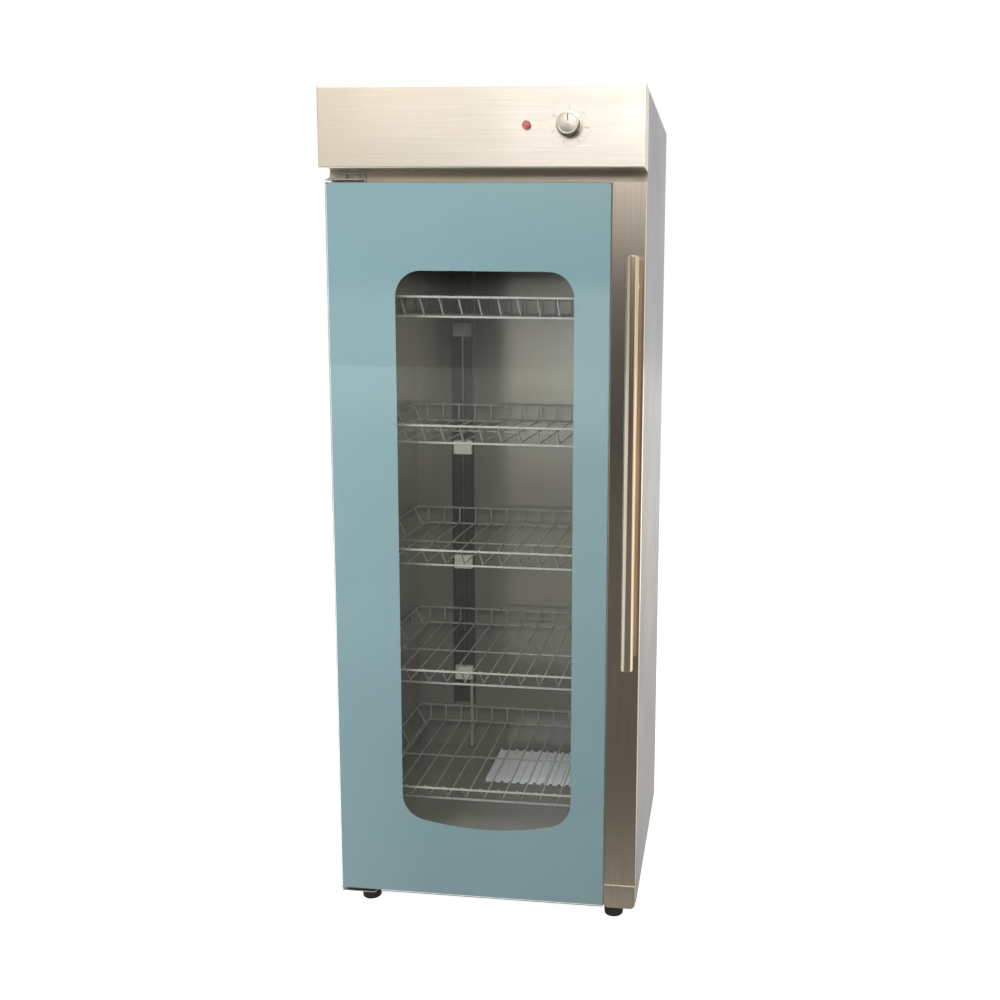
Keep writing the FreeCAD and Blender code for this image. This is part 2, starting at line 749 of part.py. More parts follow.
def steel_band():
    """Brushed band that the handle is fixed to."""
    band = band_section(cap_top + end_cap_slope, door_top, 0.0)
    for z in handle_post_heights:
        band = band.cut(rod(handle_screw_radius + screw_gap, (handle_x, door_face - past, z),
                            (handle_x, door_face + skin + past, z)))
    return band


def band_end_cap():
    """Lower end of the band: a slightly proud cap with round corners and a sloping top edge."""
    cap = band_section(door_bottom, cap_top + end_cap_slope, end_cap_proud)
    slope = Part.Face(Part.makePolygon([
        V(band_left - past, door_face - end_cap_proud, cap_top),
        V(band_left - past, door_face, cap_top + end_cap_slope),
        V(band_left - past, door_face - 2 * end_cap_proud, cap_top + end_cap_slope),
        V(band_left - past, door_face - end_cap_proud, cap_top)]))
    cap = cap.cut(slope.extrude(V(band_width + 2 * past, 0, 0)))
    outline = block(band_left, half_width, door_face - end_cap_proud - past, door_back + past, door_bottom,
                    door_bottom + 2 * end_cap_corner)
    keep_part = round_edges(outline, end_cap_corner, at("z", door_bottom), runs("y"))
    return cap.cut(outline.cut(keep_part))


def door_gasket():
    """Closed rubber seal on the back of the door."""
    edge = half_width - seal_from_edge
    z0, z1 = door_bottom + seal_bottom_margin, door_top - seal_top_margin
    back = body_front - fit_gap
    ring = block(-edge, edge, door_back, back, z0, z1)
    ring = ring.cut(block(-edge + seal_width, edge - seal_width, door_back - past, back + past,
                          z0 + seal_width, z1 - seal_width))
    return round_edges(ring, seal_round, at("y", back))


keep("door_frame", door_frame())
keep("door_inner_skin", door_inner_skin())
keep("door_glass", door_glass())
keep("glass_print", glass_print())
keep("bonding_tape", bonding_tape())
keep("steel_band", steel_band())
keep("band_end_cap", band_end_cap())
keep("door_gasket", door_gasket())

catch_right = half_width - catch_from_edge
catch_z1 = door_top - catch_from_top
keep("door_catch", round_edges(
    block(catch_right - catch_length, catch_right, door_back + fit_gap, body_front,
          catch_z1 - catch_height, catch_z1),
    small_round, at("y", door_back + fit_gap)))


# ---------------------------------------------------------------- handle
def handle_tube():
    """Straight steel tube, open at both ends for the caps."""
    ends = ((handle_x, handle_y, handle_z0 + handle_cap), (handle_x, handle_y, handle_z1 - handle_cap))
    return rod(handle_radius, *ends).cut(rod(handle_radius - handle_wall, *ends))


def handle_end(z, way):
    """Domed cap with a plug that sits in the tube."""
    disc = rod(handle_radius, (handle_x, handle_y, z), (handle_x, handle_y, z + way * handle_cap))
    disc = round_edges(disc, handle_cap_round, at("z", z))
    inner = z + way * handle_cap
    plug = rod(handle_radius - handle_wall - screw_gap, (handle_x, handle_y, inner),
               (handle_x, handle_y, inner + way * handle_plug))
    return fuse([disc, plug])


def handle_post(z):
    """Post from the band to the tube, saddled to the tube and threaded for its screw."""
    stem = rod(handle_post_radius, (handle_x, handle_y, z), (handle_x, door_face, z))
    foot = rod(handle_foot_radius, (handle_x, door_face - handle_foot_height, z), (handle_x, door_face, z))
    foot = round_edges(foot, small_round, at("y", door_face - handle_foot_height))
    post = fuse([stem, foot])
    post = post.cut(rod(handle_radius + running_gap, (handle_x, handle_y, z - handle_foot_radius),
                        (handle_x, handle_y, z + handle_foot_radius)))
    return post.cut(rod(handle_screw_radius + screw_gap, (handle_x, door_face, z),
                        (handle_x, door_face - handle_screw_depth - past, z)))


keep("handle_tube", handle_tube())
keep("handle_caps", [handle_end(handle_z0, 1), handle_end(handle_z1, -1)])
keep("handle_posts", [handle_post(z) for z in handle_post_heights])
keep("handle_screws", [
    screw((handle_x, door_face + skin, z), (0, -1, 0), 2 * handle_screw_radius, handle_screw_radius,
          handle_screw_radius, handle_screw_depth) for z in handle_post_heights])


# ---------------------------------------------------------------- timer, knob and lamp
timer_front = head_face + skin
dial_face = head_face - dial_thickness
knob_back = dial_face - knob_lift
knob_front = knob_back - knob_height
neck_end = head_face - timer_neck


def along_y(radius, x, y0, y1):
    """A round bar along Y at the controls' height."""
    return rod(radius, (x, y0, control_z), (x, y1, control_z))


def timer_body():
    """Clockwork timer with a neck through the fascia and a bore for its shaft."""
    half = timer_size / 2
    case = block(knob_x - half, knob_x + half, timer_front, timer_front + timer_depth,
                 control_z - half, control_z + half)
    case = round_edges(case, timer_round, runs("y"))
    case = fuse([case, along_y(timer_neck_radius, knob_x, timer_front, neck_end)])
    bore_end = timer_front + shaft_depth + past
    return case.cut(along_y(shaft_radius + running_gap, knob_x, neck_end - past, bore_end))


def timer_knob():
    """Turned knob: wide skirt, narrower grip, recess behind it and a bored hub."""
    grip_start = knob_back - knob_skirt
    skirt = along_y(knob_radius, knob_x, knob_back, grip_start)
    grip = Part.makeCone(knob_grip_radius + knob_taper, knob_grip_radius, knob_height - knob_skirt,
                         V(knob_x, grip_start, control_z), V(0, -1, 0))
    knob = fuse([skirt, grip])
    knob = round_edges(knob, knob_round, at("y", knob_front), longer(knob_radius))
    recess = along_y(knob_grip_radius - knob_wall, knob_x, knob_back, knob_back - knob_recess)
    bore = along_y(shaft_radius + running_gap, knob_x, knob_back, knob_front + knob_front_wall)
    return knob.cut(recess).cut(bore)


def indicator_bezel():
    """Bright ring with a sleeve through the fascia."""
    ring = along_y(lamp_bezel_radius, lamp_x, head_face, head_face - lamp_bezel_height)
    ring = round_edges(ring, lamp_bezel_round, at("y", head_face - lamp_bezel_height))
    sleeve = along_y(lamp_hole_radius, lamp_x, head_face, head_face + lamp_sleeve)
    bore = along_y(lamp_lens_radius + screw_gap, lamp_x, head_face - lamp_bezel_height - past,
                   head_face + lamp_sleeve + past)
    return fuse([ring, sleeve]).cut(bore)


def indicator_lens():
    """Red lens with a domed front."""
    front = head_face - lamp_bezel_height
    barrel = along_y(lamp_lens_radius, lamp_x, head_face + lamp_sleeve, front)
    dome_radius = (lamp_lens_radius ** 2 + lamp_lens_rise ** 2) / (2 * lamp_lens_rise)
    centre = V(lamp_x, front + dome_radius - lamp_lens_rise, control_z)
    ball = Part.makeSphere(dome_radius, centre)
    dome = ball.common(along_y(lamp_lens_radius, lamp_x, front, front - lamp_lens_rise - past))
    return fuse([barrel, dome])


keep("timer_body", timer_body())
keep("dial_plate", along_y(dial_radius, knob_x, head_face, dial_face).cut(
    along_y(timer_neck_radius + screw_gap, knob_x, head_face + past, dial_face - past)))
keep("timer_shaft", along_y(shaft_radius, knob_x, timer_front + shaft_depth,
                            knob_front + knob_front_wall + fit_gap))
keep("timer_knob", timer_knob())
keep("knob_face", along_y(knob_face_radius, knob_x, knob_front, knob_front - knob_face_thickness))
keep("indicator_bezel", indicator_bezel())
keep("indicator_lens", indicator_lens())
lamp_back = head_face + lamp_sleeve + lamp_body_depth
keep("lamp_body", along_y(lamp_body_radius, lamp_x, head_face + lamp_sleeve, lamp_back))


# ---------------------------------------------------------------- racks
def rack(rim_z):
    """Welded wire tray: base frame, flared rim, fill wires bent up at both ends, side posts."""
    thick, thin = rim_wire / 2, fill_wire / 2
    touch = thick + thin - weld_sink
    base_z = rim_z - rack_depth_of_tray
    rim_half = chamber_half - rack_side_gap - thick
    base_half = rim_half - rack_side_flare
    base_front = rack_front + rack_front_flare
    fill_z = base_z + touch
    fill_half = base_half - rack_fill_margin
    fill_pitch = 2 * fill_half / (rack_fill_count - 1)
    pieces = [
        closed_wire(-rim_half, rim_half, rack_front, rack_back, rim_z, thick, rack_corner),
        closed_wire(-base_half, base_half, base_front, rack_back, base_z, thick, rack_corner),
        rod(cross_wire / 2, (-base_half, (base_front + rack_back) / 2, base_z),
            (base_half, (base_front + rack_back) / 2, base_z)),
    ]
    for i in range(rack_fill_count):
        x = i * fill_pitch - fill_half
        pieces.append(swept([
            (x, rack_back - touch, rim_z + thin),
            (x, rack_back - touch, fill_z),
            (x, base_front + thin, fill_z),
            (x, rack_front + touch, rim_z + thin)], thin, rack_bend))
    for place in rack_side_posts:
        for s in (-1, 1):
            y = rack_front + place
            pieces.append(rod(thin, (s * base_half, y, base_z), (s * rim_half, y, rim_z)))
    return fuse(pieces)


lowest_rack = rack(rim_heights[0])
for number, rim_z in enumerate(reversed(rim_heights), start=1):
    placed = lowest_rack.copy()
    placed.translate(V(0, 0, rim_z - rim_heights[0]))
    keep("rack_%d" % number, placed)


def rack_stud(side, y, rim_z):
    """Stud in the chamber's wall with a collar that stops the rim from sliding off."""
    z = rim_z - rim_wire / 2 - stud_radius - running_gap
    wall, tip = side * chamber_half, side * (chamber_half - stud_length)
    stem = rod(stud_radius, (wall, y, z), (tip, y, z))
    collar = rod(stud_collar_radius, (tip, y, z), (tip + side * stud_collar, y, z))
    return fuse([stem, collar])


keep("rack_studs", [rack_stud(s, rack_front + place, rim_z) for rim_z in rim_heights
                    for s in (-1, 1) for place in stud_places])


# ---------------------------------------------------------------- heater
def heater_channel():
    """Open channel on the chamber's back wall that carries the holders."""
    z0, z1 = chamber_floor + channel_bottom_rise, chamber_ceiling - channel_top_drop
    outer = block(channel_left, channel_right, channel_front, chamber_back, z0, z1)
    return outer.cut(block(channel_left + skin, channel_right - skin, channel_front - past,
                           chamber_back - skin, z0 - past, z1 + past))


def tube_holder(z):
    """Grooved ceramic block with a seat for the tubes and a passage for the lead."""
    half = holder_height / 2
    holder = block(channel_x - holder_width / 2, channel_x + holder_width / 2, channel_front,
                   chamber_back - skin, z - half, z + half)
    holder = round_edges(holder, small_round, at("y", channel_front))
    groove_z = z + holder_groove_rise
    holder = holder.cut(block(channel_left, channel_right, channel_front - past,
                              channel_front + holder_groove, groove_z, groove_z + holder_groove))
    return holder.cut(rod(tube_radius + screw_gap, (channel_x, tube_y, z - half - past),
                          (channel_x, tube_y, z + half + past)))


heater_tubes = []
for low_z, high_z in zip(holder_heights, holder_heights[1:]):
    ends = [low_z + holder_height / 2 - tube_engage, high_z - holder_height / 2 + tube_engage]
    glass = rod(tube_radius, (channel_x, tube_y, ends[0]), (channel_x, tube_y, ends[1]))
    bore = rod(tube_radius - tube_wall, (channel_x, tube_y, ends[0]), (channel_x, tube_y, ends[1]))
    heater_tubes.append(glass.cut(bore))
keep("heater_channel", heater_channel())
keep("tube_holders", [tube_holder(z) for z in holder_heights])
keep("heater_tubes", heater_tubes)

# ---------------------------------------------------------------- wiring
terminal_y1 = body_back - skin - terminal_from_back
terminal_y0 = terminal_y1 - terminal_depth
terminal_z0 = body_bottom + skin
terminal_left = terminal_x - terminal_length / 2
lead_start = holder_heights[0] - holder_height / 2
base_lead_z = body_bottom + base_lead_rise
terminal_block = block(terminal_left, terminal_left + terminal_length, terminal_y0, terminal_y1,
                       terminal_z0, base_lead_z + 2 * lead_radius)
keep("terminal_block", round_edges(terminal_block, small_round, runs("z")))
keep("heater_lead", swept([
    (lead_x, tube_y, lead_start),
    (lead_x, tube_y, base_lead_z),
    (terminal_left, tube_y, base_lead_z)], lead_radius, lead_bend))

lead_head_z = head_bottom + lead_head_rise
keep("control_leads", [
    swept([(terminal_x, wiring_y, base_lead_z + 2 * lead_radius),
           (terminal_x, wiring_y, lead_head_z),
           (terminal_x, timer_front + timer_depth, lead_head_z)], lead_radius, lead_bend),
    rod(lead_radius / 2, (lamp_x + lamp_body_radius - past, lamp_back - lamp_body_radius, control_z),
        (knob_x - timer_size / 2, lamp_back - lamp_body_radius, control_z)).cut(NODES["lamp_body"][0])])


def floor_grommet():
    """Rubber ring where the heater lead passes through the chamber's floor."""
    low, high = chamber_floor - liner_skin, chamber_floor
    neck = rod(lead_radius + grommet_lip - screw_gap, (lead_x, tube_y, low - grommet_lip),
               (lead_x, tube_y, high + grommet_lip))
    lips = [rod(lead_radius + grommet_flange, (lead_x, tube_y, z), (lead_x, tube_y, z + grommet_lip))
            for z in (low - grommet_lip, high)]
    ends = ((lead_x, tube_y, low - grommet_lip - past), (lead_x, tube_y, high + grommet_lip + past))
    return fuse([neck] + lips).cut(rod(lead_radius + screw_gap, *ends))


def cable_gland():
    """Gland for the mains lead: nut inside, body through the panel, dome nut outside."""
    z = body_bottom + gland_rise

    def bar(radius, y0, y1):
        return rod(radius, (gland_x, y0, z), (gland_x, y1, z))

    inside = body_back - skin - gland_nut
    dome = bar(gland_nut_radius, body_back, body_back + gland_reach)
    dome = round_edges(dome, gland_round, at("y", body_back + gland_reach))
    parts = [bar(gland_radius, body_back - skin - gland_inside, body_back + gland_nut), dome,
             bar(gland_nut_radius, inside, body_back - skin)]
    bore = bar(gland_bore, body_back - skin - gland_inside - past, body_back + gland_reach + past)
    return fuse(parts).cut(bore)


def thermostat():
    """Bimetal cut-out clamped on the chamber's ceiling."""
    y, z = body_back - sensor_from_back, chamber_ceiling + liner_skin
    flange_disc = rod(sensor_flange_radius, (0, y, z), (0, y, z + sensor_flange))
    return fuse([flange_disc, rod(sensor_radius, (0, y, z), (0, y, z + sensor_height))])


keep("floor_grommet", floor_grommet())
keep("cable_gland", cable_gland())
keep("thermostat", thermostat())


# ---------------------------------------------------------------- drip tray
def drip_tray():
    """Loose ribbed sheet on the chamber's floor, with a low rim at each side."""
    x0, x1 = tray_x - tray_width / 2, tray_x + tray_width / 2
    y1 = chamber_back - tray_from_back
    low = chamber_floor + running_gap
    count = int(tray_width // tray_rib_pitch) - 1
    first = tray_x - (count - 1) * tray_rib_pitch / 2
    top_half, foot_half = tray_rib_top / 2, tray_rib_foot / 2
    line = [(x0, tray_rim), (x0, 0.0)]
    for i in range(count):
        middle = first + i * tray_rib_pitch
        line += [(middle - foot_half, 0.0), (middle - top_half, tray_rib_height),
                 (middle + top_half, tray_rib_height), (middle + foot_half, 0.0)]
    line += [(x1, 0.0), (x1, tray_rim)]
    wall_in = [tray_sheet, tray_sheet] + [0.0] * (len(line) - 4) + [-tray_sheet, -tray_sheet]
    lift = [0.0] + [tray_sheet] * (len(line) - 2) + [0.0]
    under = [V(x, y1, low + z) for x, z in line]
    over = [V(x + dx, y1, low + z + dz) for (x, z), dx, dz in zip(line, wall_in, lift)]
    outline = under + over[::-1] + [under[0]]
    return Part.Face(Part.makePolygon(outline)).extrude(V(0, -tray_depth, 0))


keep("drip_tray", drip_tray())


# ---------------------------------------------------------------- export
os.makedirs("parts", exist_ok=True)
for name, solids in NODES.items():
    shape = solids[0] if len(solids) == 1 else Part.makeCompound(solids)
    for solid in shape.Solids:
        assert solid.isValid(), name
    shape.exportStep(os.path.join("parts", name + ".step"))
    print("%-18s %2d solid(s) %10.0f mm3" % (name, len(shape.Solids), shape.Volume))
print(len(NODES), "nodes")
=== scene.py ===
# %% [markdown]
# # Dish sterilizer cabinet
# A tall steel cabinet with a printed glass door, five wire racks and a heater on its back wall.
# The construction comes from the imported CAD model, which is loaded first and never moved.
# This lesson gives each part its finish, and models anew the few parts whose charm is in detail
# that construction leaves out: ground glass edges, a turned knob, a printed dial, a heating coil.
# Lengths are metres, as in Blender, and `MM` lets a size be written in millimetres.

import math

import bmesh
import bpy
from mathutils import Matrix, Vector


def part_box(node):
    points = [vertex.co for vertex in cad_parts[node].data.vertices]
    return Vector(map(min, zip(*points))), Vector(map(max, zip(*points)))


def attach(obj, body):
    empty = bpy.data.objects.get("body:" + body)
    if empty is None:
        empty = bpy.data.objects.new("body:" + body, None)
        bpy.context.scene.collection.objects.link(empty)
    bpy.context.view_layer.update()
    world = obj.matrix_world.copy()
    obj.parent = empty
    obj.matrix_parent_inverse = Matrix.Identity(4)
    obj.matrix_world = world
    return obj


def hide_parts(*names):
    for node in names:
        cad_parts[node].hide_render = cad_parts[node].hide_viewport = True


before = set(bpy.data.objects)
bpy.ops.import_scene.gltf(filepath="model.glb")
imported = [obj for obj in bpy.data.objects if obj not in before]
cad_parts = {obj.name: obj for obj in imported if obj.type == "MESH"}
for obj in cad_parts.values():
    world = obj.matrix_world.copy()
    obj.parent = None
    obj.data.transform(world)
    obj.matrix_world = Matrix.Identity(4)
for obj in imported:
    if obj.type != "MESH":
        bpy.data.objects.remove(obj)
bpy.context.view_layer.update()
MM = 0.001
FRONT = (math.radians(90), 0, 0)     # turns a piece modelled along +Z to face the front, -Y
BACK = (math.radians(-90), 0, 0)     # turns it to face the back, +Y

# %% [markdown]
# ## Studio
# The camera stands in front and to the right, a little above the middle and tilted down. Its
# 38 mm lens takes in about 50 degrees. The lens is shifted to the left and down to bring the
# cabinet to the frame's middle, which keeps the door's edges more nearly parallel than turning
# the camera further would.

# %% Camera
eye = Vector((0.4954, -2.3468, 1.3012))
turn, tilt, roll = math.radians(5.992), math.radians(7.898), math.radians(0.776)
camera = bpy.data.objects.new("camera", bpy.data.cameras.new("camera"))
bpy.context.scene.collection.objects.link(camera)
camera.data.lens = 38.34
camera.data.shift_x, camera.data.shift_y = -0.12, -0.045
camera.matrix_world = (Matrix.Translation(eye) @ Matrix.Rotation(turn, 4, "Z")
                       @ Matrix.Rotation(math.radians(90) - tilt, 4, "X") @ Matrix.Rotation(roll, 4, "Z"))
bpy.context.scene.camera = camera
bpy.context.scene.view_settings.view_transform = "Standard"
print("camera lens", camera.data.lens, "mm")

# %% [markdown]
# Two small helpers carry the whole lesson on finishes. `colour` turns an sRGB hex value, as a
# paint chart gives it, into the linear values that a shader needs, by the curve of the sRGB
# standard. `add_node` adds one node, fills its settings and links its inputs, so that a finish
# reads from top to bottom. A Mix node's sockets share their names, so they go by number: 0 is
# the factor, 2 and 3 are numbers to mix, 6 and 7 are colours, and the mixed colour leaves by 2.

# %% Colour and nodes
def colour(code):
    """Linear RGBA of an sRGB hex value such as #88AAAC."""
    shares = [int(code[i:i + 2], 16) / 255 for i in (1, 3, 5)]
    linear = [s / 12.92 if s <= 0.04045 else ((s + 0.055) / 1.055) ** 2.4 for s in shares]
    return (*linear, 1.0)


def add_node(tree, kind, settings=None, links=None):
    """One node. Settings fill its choices and sockets; links feed inputs from sockets or first outputs."""
    node = tree.nodes.new(kind)
    for key, value in (settings or {}).items():
        if isinstance(key, str) and hasattr(node, key):
            setattr(node, key, value)
        else:
            node.inputs[key].default_value = value
    for key, source in (links or {}).items():
        socket = source.outputs[0] if isinstance(source, bpy.types.Node) else source
        tree.links.new(socket, node.inputs[key])
    return node


# %% [markdown]
# ### What each ray meets
# Rays that show the background, straight or through glass, meet a pale matt floor that a glow
# lifts to white, and a white world. Mirror rays meet a studio room instead, because steel that
# reflects one even white looks like paper. All other rays only carry light: they find a dull
# floor, which keeps the door's lower half from being lit from below, and a dim sky. `ray_kinds`
# sorts the rays alike for floor and world. `fade` gives the settings for a soft change from one
# brightness to another, between two places or two directions.

# %% Kinds of rays
first_bounce = 0.5     # bounces are whole numbers, so a ray below this has had none


def ray_kinds(tree):
    """Three factors, 1 for: rays that show the background, mirror rays, and those that leave by a pane."""
    rays = add_node(tree, "ShaderNodeLightPath")
    bounced = add_node(tree, "ShaderNodeMath", {"operation": "MAXIMUM"},
                       {0: rays.outputs["Diffuse Depth"], 1: rays.outputs["Glossy Depth"]})
    straight = add_node(tree, "ShaderNodeMath", {"operation": "LESS_THAN", 1: first_bounce}, {0: bounced})
    through = add_node(tree, "ShaderNodeMath", {"operation": "MULTIPLY"},
                       {0: rays.outputs["Is Transmission Ray"], 1: straight})
    seen = add_node(tree, "ShaderNodeMath", {"operation": "MAXIMUM"},
                    {0: rays.outputs["Is Camera Ray"], 1: through})
    undimmed = add_node(tree, "ShaderNodeMath", {"operation": "LESS_THAN", 1: first_bounce},
                        {0: rays.outputs["Diffuse Depth"]})
    mirrored = add_node(tree, "ShaderNodeMath", {"operation": "MULTIPLY"},
                        {0: rays.outputs["Is Glossy Ray"], 1: undimmed})
    return seen, mirrored, rays.outputs["Is Transmission Ray"]


def fade(start, stop, low, high):
    """Map Range settings for a soft change: low where the value is at start, high where it is at stop."""
    return {"interpolation_type": "SMOOTHSTEP", "From Min": start, "From Max": stop,
            "To Min": low, "To Max": high}


# %% [markdown]
# ### Floor
# In mirrors the floor is dim ahead of the cabinet and brighter behind it. It is bright on the
# left beyond a slanted line, and on the right beyond a steeper pair of lines, where it is warmer
# too. A mirror ray that leaves the chamber through the pane meets a grey floor that brightens
# far ahead, or the chamber would be a black hole.

# %% The floor's glow in mirrors
left_slant, right_slant = -0.42, -2.0
floor_paper = bpy.data.materials.new("pale_paper_floor")
floor_paper.use_nodes = True
tree = floor_paper.node_tree
tree.nodes.clear()
seen, mirrored, leaving = ray_kinds(tree)
place = add_node(tree, "ShaderNodeTexCoord")
across = add_node(tree, "ShaderNodeSeparateXYZ", links={"Vector": place.outputs["Object"]})
ahead = add_node(tree, "ShaderNodeMapRange", fade(start=-10.0, stop=-2.5, low=0.09, high=0.21),
                 {"Value": across.outputs["Y"]})
behind = add_node(tree, "ShaderNodeMapRange", fade(start=-1.0, stop=0.6, low=0.0, high=0.7),
                  {"Value": across.outputs["Y"]})
left_line = add_node(tree, "ShaderNodeMath", {"operation": "MULTIPLY_ADD", 1: left_slant},
                     {0: across.outputs["Y"], 2: across.outputs["X"]})
left_flank = add_node(tree, "ShaderNodeMapRange", fade(start=0.1, stop=-0.6, low=0.0, high=0.8),
                      {"Value": left_line})
away = add_node(tree, "ShaderNodeMath", {"operation": "ABSOLUTE"}, {0: across.outputs["Y"]})
right_lines = add_node(tree, "ShaderNodeMath", {"operation": "MULTIPLY_ADD", 1: right_slant},
                       {0: away, 2: across.outputs["X"]})
right_flank = add_node(tree, "ShaderNodeMapRange", fade(start=0.3, stop=1.2, low=0.0, high=1.0),
                       {"Value": right_lines})
lengthwise = add_node(tree, "ShaderNodeMath", {"operation": "ADD"}, {0: ahead, 1: behind})
flanks = add_node(tree, "ShaderNodeMath", {"operation": "ADD"}, {0: left_flank, 1: right_flank})
all_round = add_node(tree, "ShaderNodeMath", {"operation": "ADD"}, {0: lengthwise, 1: flanks})
far_away = add_node(tree, "ShaderNodeMapRange", fade(start=-4.0, stop=-14.0, low=0.5, high=1.75),
                    {"Value": across.outputs["Y"]})
outside = add_node(tree, "ShaderNodeMath", {"operation": "MULTIPLY"}, {0: leaving, 1: far_away})
strength = add_node(tree, "ShaderNodeMath", {"operation": "MAXIMUM"}, {0: all_round, 1: outside})
floor_tint = add_node(tree, "ShaderNodeMix", {"data_type": "RGBA", 6: colour("#FFFBF2"),
                      7: colour("#FFE8CC")}, {0: right_flank})
in_mirrors = add_node(tree, "ShaderNodeEmission",
                      links={"Color": floor_tint.outputs[2], "Strength": strength})
print("floor glow:", len(tree.nodes), "nodes")

# %% [markdown]
# The sheet itself is matt paper. For the rays that show it a white glow is added, so that it
# looks white and still takes the cabinet's shadow. For the rays that only carry light it is dull.

# %% The floor's sheet
floor_wide, floor_lift = 40.0, 0.93
paper = add_node(tree, "ShaderNodeBsdfDiffuse", {"Color": colour("#C9C9C7")})
lift = add_node(tree, "ShaderNodeEmission", {"Color": colour("#FFFFFF"), "Strength": floor_lift})
lifted = add_node(tree, "ShaderNodeAddShader", links={0: paper, 1: lift})
dull = add_node(tree, "ShaderNodeBsdfDiffuse", {"Color": colour("#605F5C")})
unseen = add_node(tree, "ShaderNodeMixShader", links={0: mirrored, 1: dull, 2: in_mirrors})
whole = add_node(tree, "ShaderNodeMixShader", links={0: seen, 1: unseen, 2: lifted})
add_node(tree, "ShaderNodeOutputMaterial", links={"Surface": whole})
bpy.ops.object.select_all(action="DESELECT")
bpy.ops.mesh.primitive_plane_add(size=floor_wide)
floor = bpy.context.object
floor.name = "floor"
floor.data.materials.append(floor_paper)
print("floor:", floor_wide, "m wide")

# %% [markdown]
# ### World
# The room in the mirrors has a bright wall above the horizon, warmer on the left and amber at the
# far right, and bright flanks on both sides. Behind the cabinet it is even. A mirror ray that
# leaves the chamber through the pane meets a low bright band and a dark room above it.

# %% World
room_behind, sky_light = 0.9, 0.2
world = bpy.data.worlds.new("studio")
bpy.context.scene.world = world
world.use_nodes = True
tree = world.node_tree
tree.nodes.clear()
seen, mirrored, leaving = ray_kinds(tree)
way = add_node(tree, "ShaderNodeTexCoord")
compass = add_node(tree, "ShaderNodeSeparateXYZ", links={"Vector": way.outputs["Generated"]})
from_left = add_node(tree, "ShaderNodeMapRange", fade(start=-0.4, stop=0.0, low=0.0, high=1.0),
                     {"Value": compass.outputs["X"]})
warm_to_white = add_node(tree, "ShaderNodeMix", {"data_type": "RGBA", 6: colour("#B8AE9F"),
                         7: colour("#FFFFFF")}, {0: from_left})
far_right = add_node(tree, "ShaderNodeMapRange", fade(start=0.55, stop=0.85, low=0.0, high=1.0),
                     {"Value": compass.outputs["X"]})
to_amber = add_node(tree, "ShaderNodeMix", {"data_type": "RGBA", 7: colour("#FFEAD0")},
                    {0: far_right, 6: warm_to_white.outputs[2]})
above = add_node(tree, "ShaderNodeMapRange", fade(start=0.02, stop=0.2, low=0.1, high=2.5),
                 {"Value": compass.outputs["Z"]})
left_flank = add_node(tree, "ShaderNodeMapRange", fade(start=-0.36, stop=-0.62, low=0.0, high=1.4),
                      {"Value": compass.outputs["X"]})
right_flank = add_node(tree, "ShaderNodeMapRange", fade(start=0.8, stop=0.97, low=0.0, high=1.5),
                       {"Value": compass.outputs["X"]})
flanks = add_node(tree, "ShaderNodeMath", {"operation": "ADD"}, {0: left_flank, 1: right_flank})
wall = add_node(tree, "ShaderNodeMath", {"operation": "MAXIMUM"}, {0: above, 1: flanks})
behind = add_node(tree, "ShaderNodeMapRange", fade(start=-0.45, stop=0.1, low=0.0, high=1.0),
                  {"Value": compass.outputs["Y"]})
inside = add_node(tree, "ShaderNodeMix", {"data_type": "FLOAT", 3: room_behind}, {0: behind, 2: wall})
outside = add_node(tree, "ShaderNodeMapRange", fade(start=0.0, stop=0.03, low=1.75, high=0.12),
                   {"Value": compass.outputs["Z"]})
strength = add_node(tree, "ShaderNodeMix", {"data_type": "FLOAT"}, {0: leaving, 2: inside, 3: outside})
sky = add_node(tree, "ShaderNodeBackground", {"Color": colour("#EDF0F4"), "Strength": sky_light})
room = add_node(tree, "ShaderNodeBackground", links={"Color": to_amber.outputs[2], "Strength": strength})
white = add_node(tree, "ShaderNodeBackground", {"Color": colour("#FFFFFF"), "Strength": 1.0})
unseen = add_node(tree, "ShaderNodeMixShader", links={0: mirrored, 1: sky, 2: room})
whole = add_node(tree, "ShaderNodeMixShader", links={0: seen, 1: unseen, 2: white})
add_node(tree, "ShaderNodeOutputWorld", links={"Surface": whole})
print("world:", len(tree.nodes), "nodes")

# %% [markdown]
# ### Lamps
# Four large soft lamps: a key high in front, a near fill at the front left, one from above and one
# from behind. The fill stands so close that its light falls off from the pane's left edge to its
# right and down the door. The key shines through the window onto racks, tube holders and tray but
# not onto the back wall's dark upper end. Key and fill stay out of mirror rays, because a hard
# white rectangle in the pane would say more about the lamp than about the glass; the room gives
# the steel its reflections.

# %% Lamps
middle = Vector((0, 0, 1.1))         # the spot that every lamp points at


def softbox(name, place, width, height, power, tint, in_mirrors=True):
    """A rectangular area lamp that points at the middle, unseen by the camera and through glass."""
    data = bpy.data.lights.new(name, "AREA")
    data.shape, data.size, data.size_y = "RECTANGLE", width, height
    data.energy, data.color = power, colour(tint)[:3]
    lamp = bpy.data.objects.new(name, data)
    bpy.context.scene.collection.objects.link(lamp)
    lamp.location = place
    lamp.rotation_euler = (middle - Vector(place)).to_track_quat("-Z", "Y").to_euler()
    lamp.visible_camera = lamp.visible_transmission = False
    lamp.visible_glossy = in_mirrors


softbox("key_lamp", (0.45, -2.4, 2.35), width=1.0, height=1.0, power=53, tint="#FFFAF4", in_mirrors=False)
softbox("fill_lamp", (-1.15, -1.4, 1.35), width=1.2, height=1.2, power=58, tint="#F4F6FF", in_mirrors=False)
softbox("top_lamp", (0.2, 0.2, 3.8), width=3.0, height=3.0, power=35, tint="#FFFFFF")
softbox("rear_lamp", (-1.6, 3.8, 2.2), width=3.0, height=2.4, power=42, tint="#FFFFFF")
print("4 lamps")

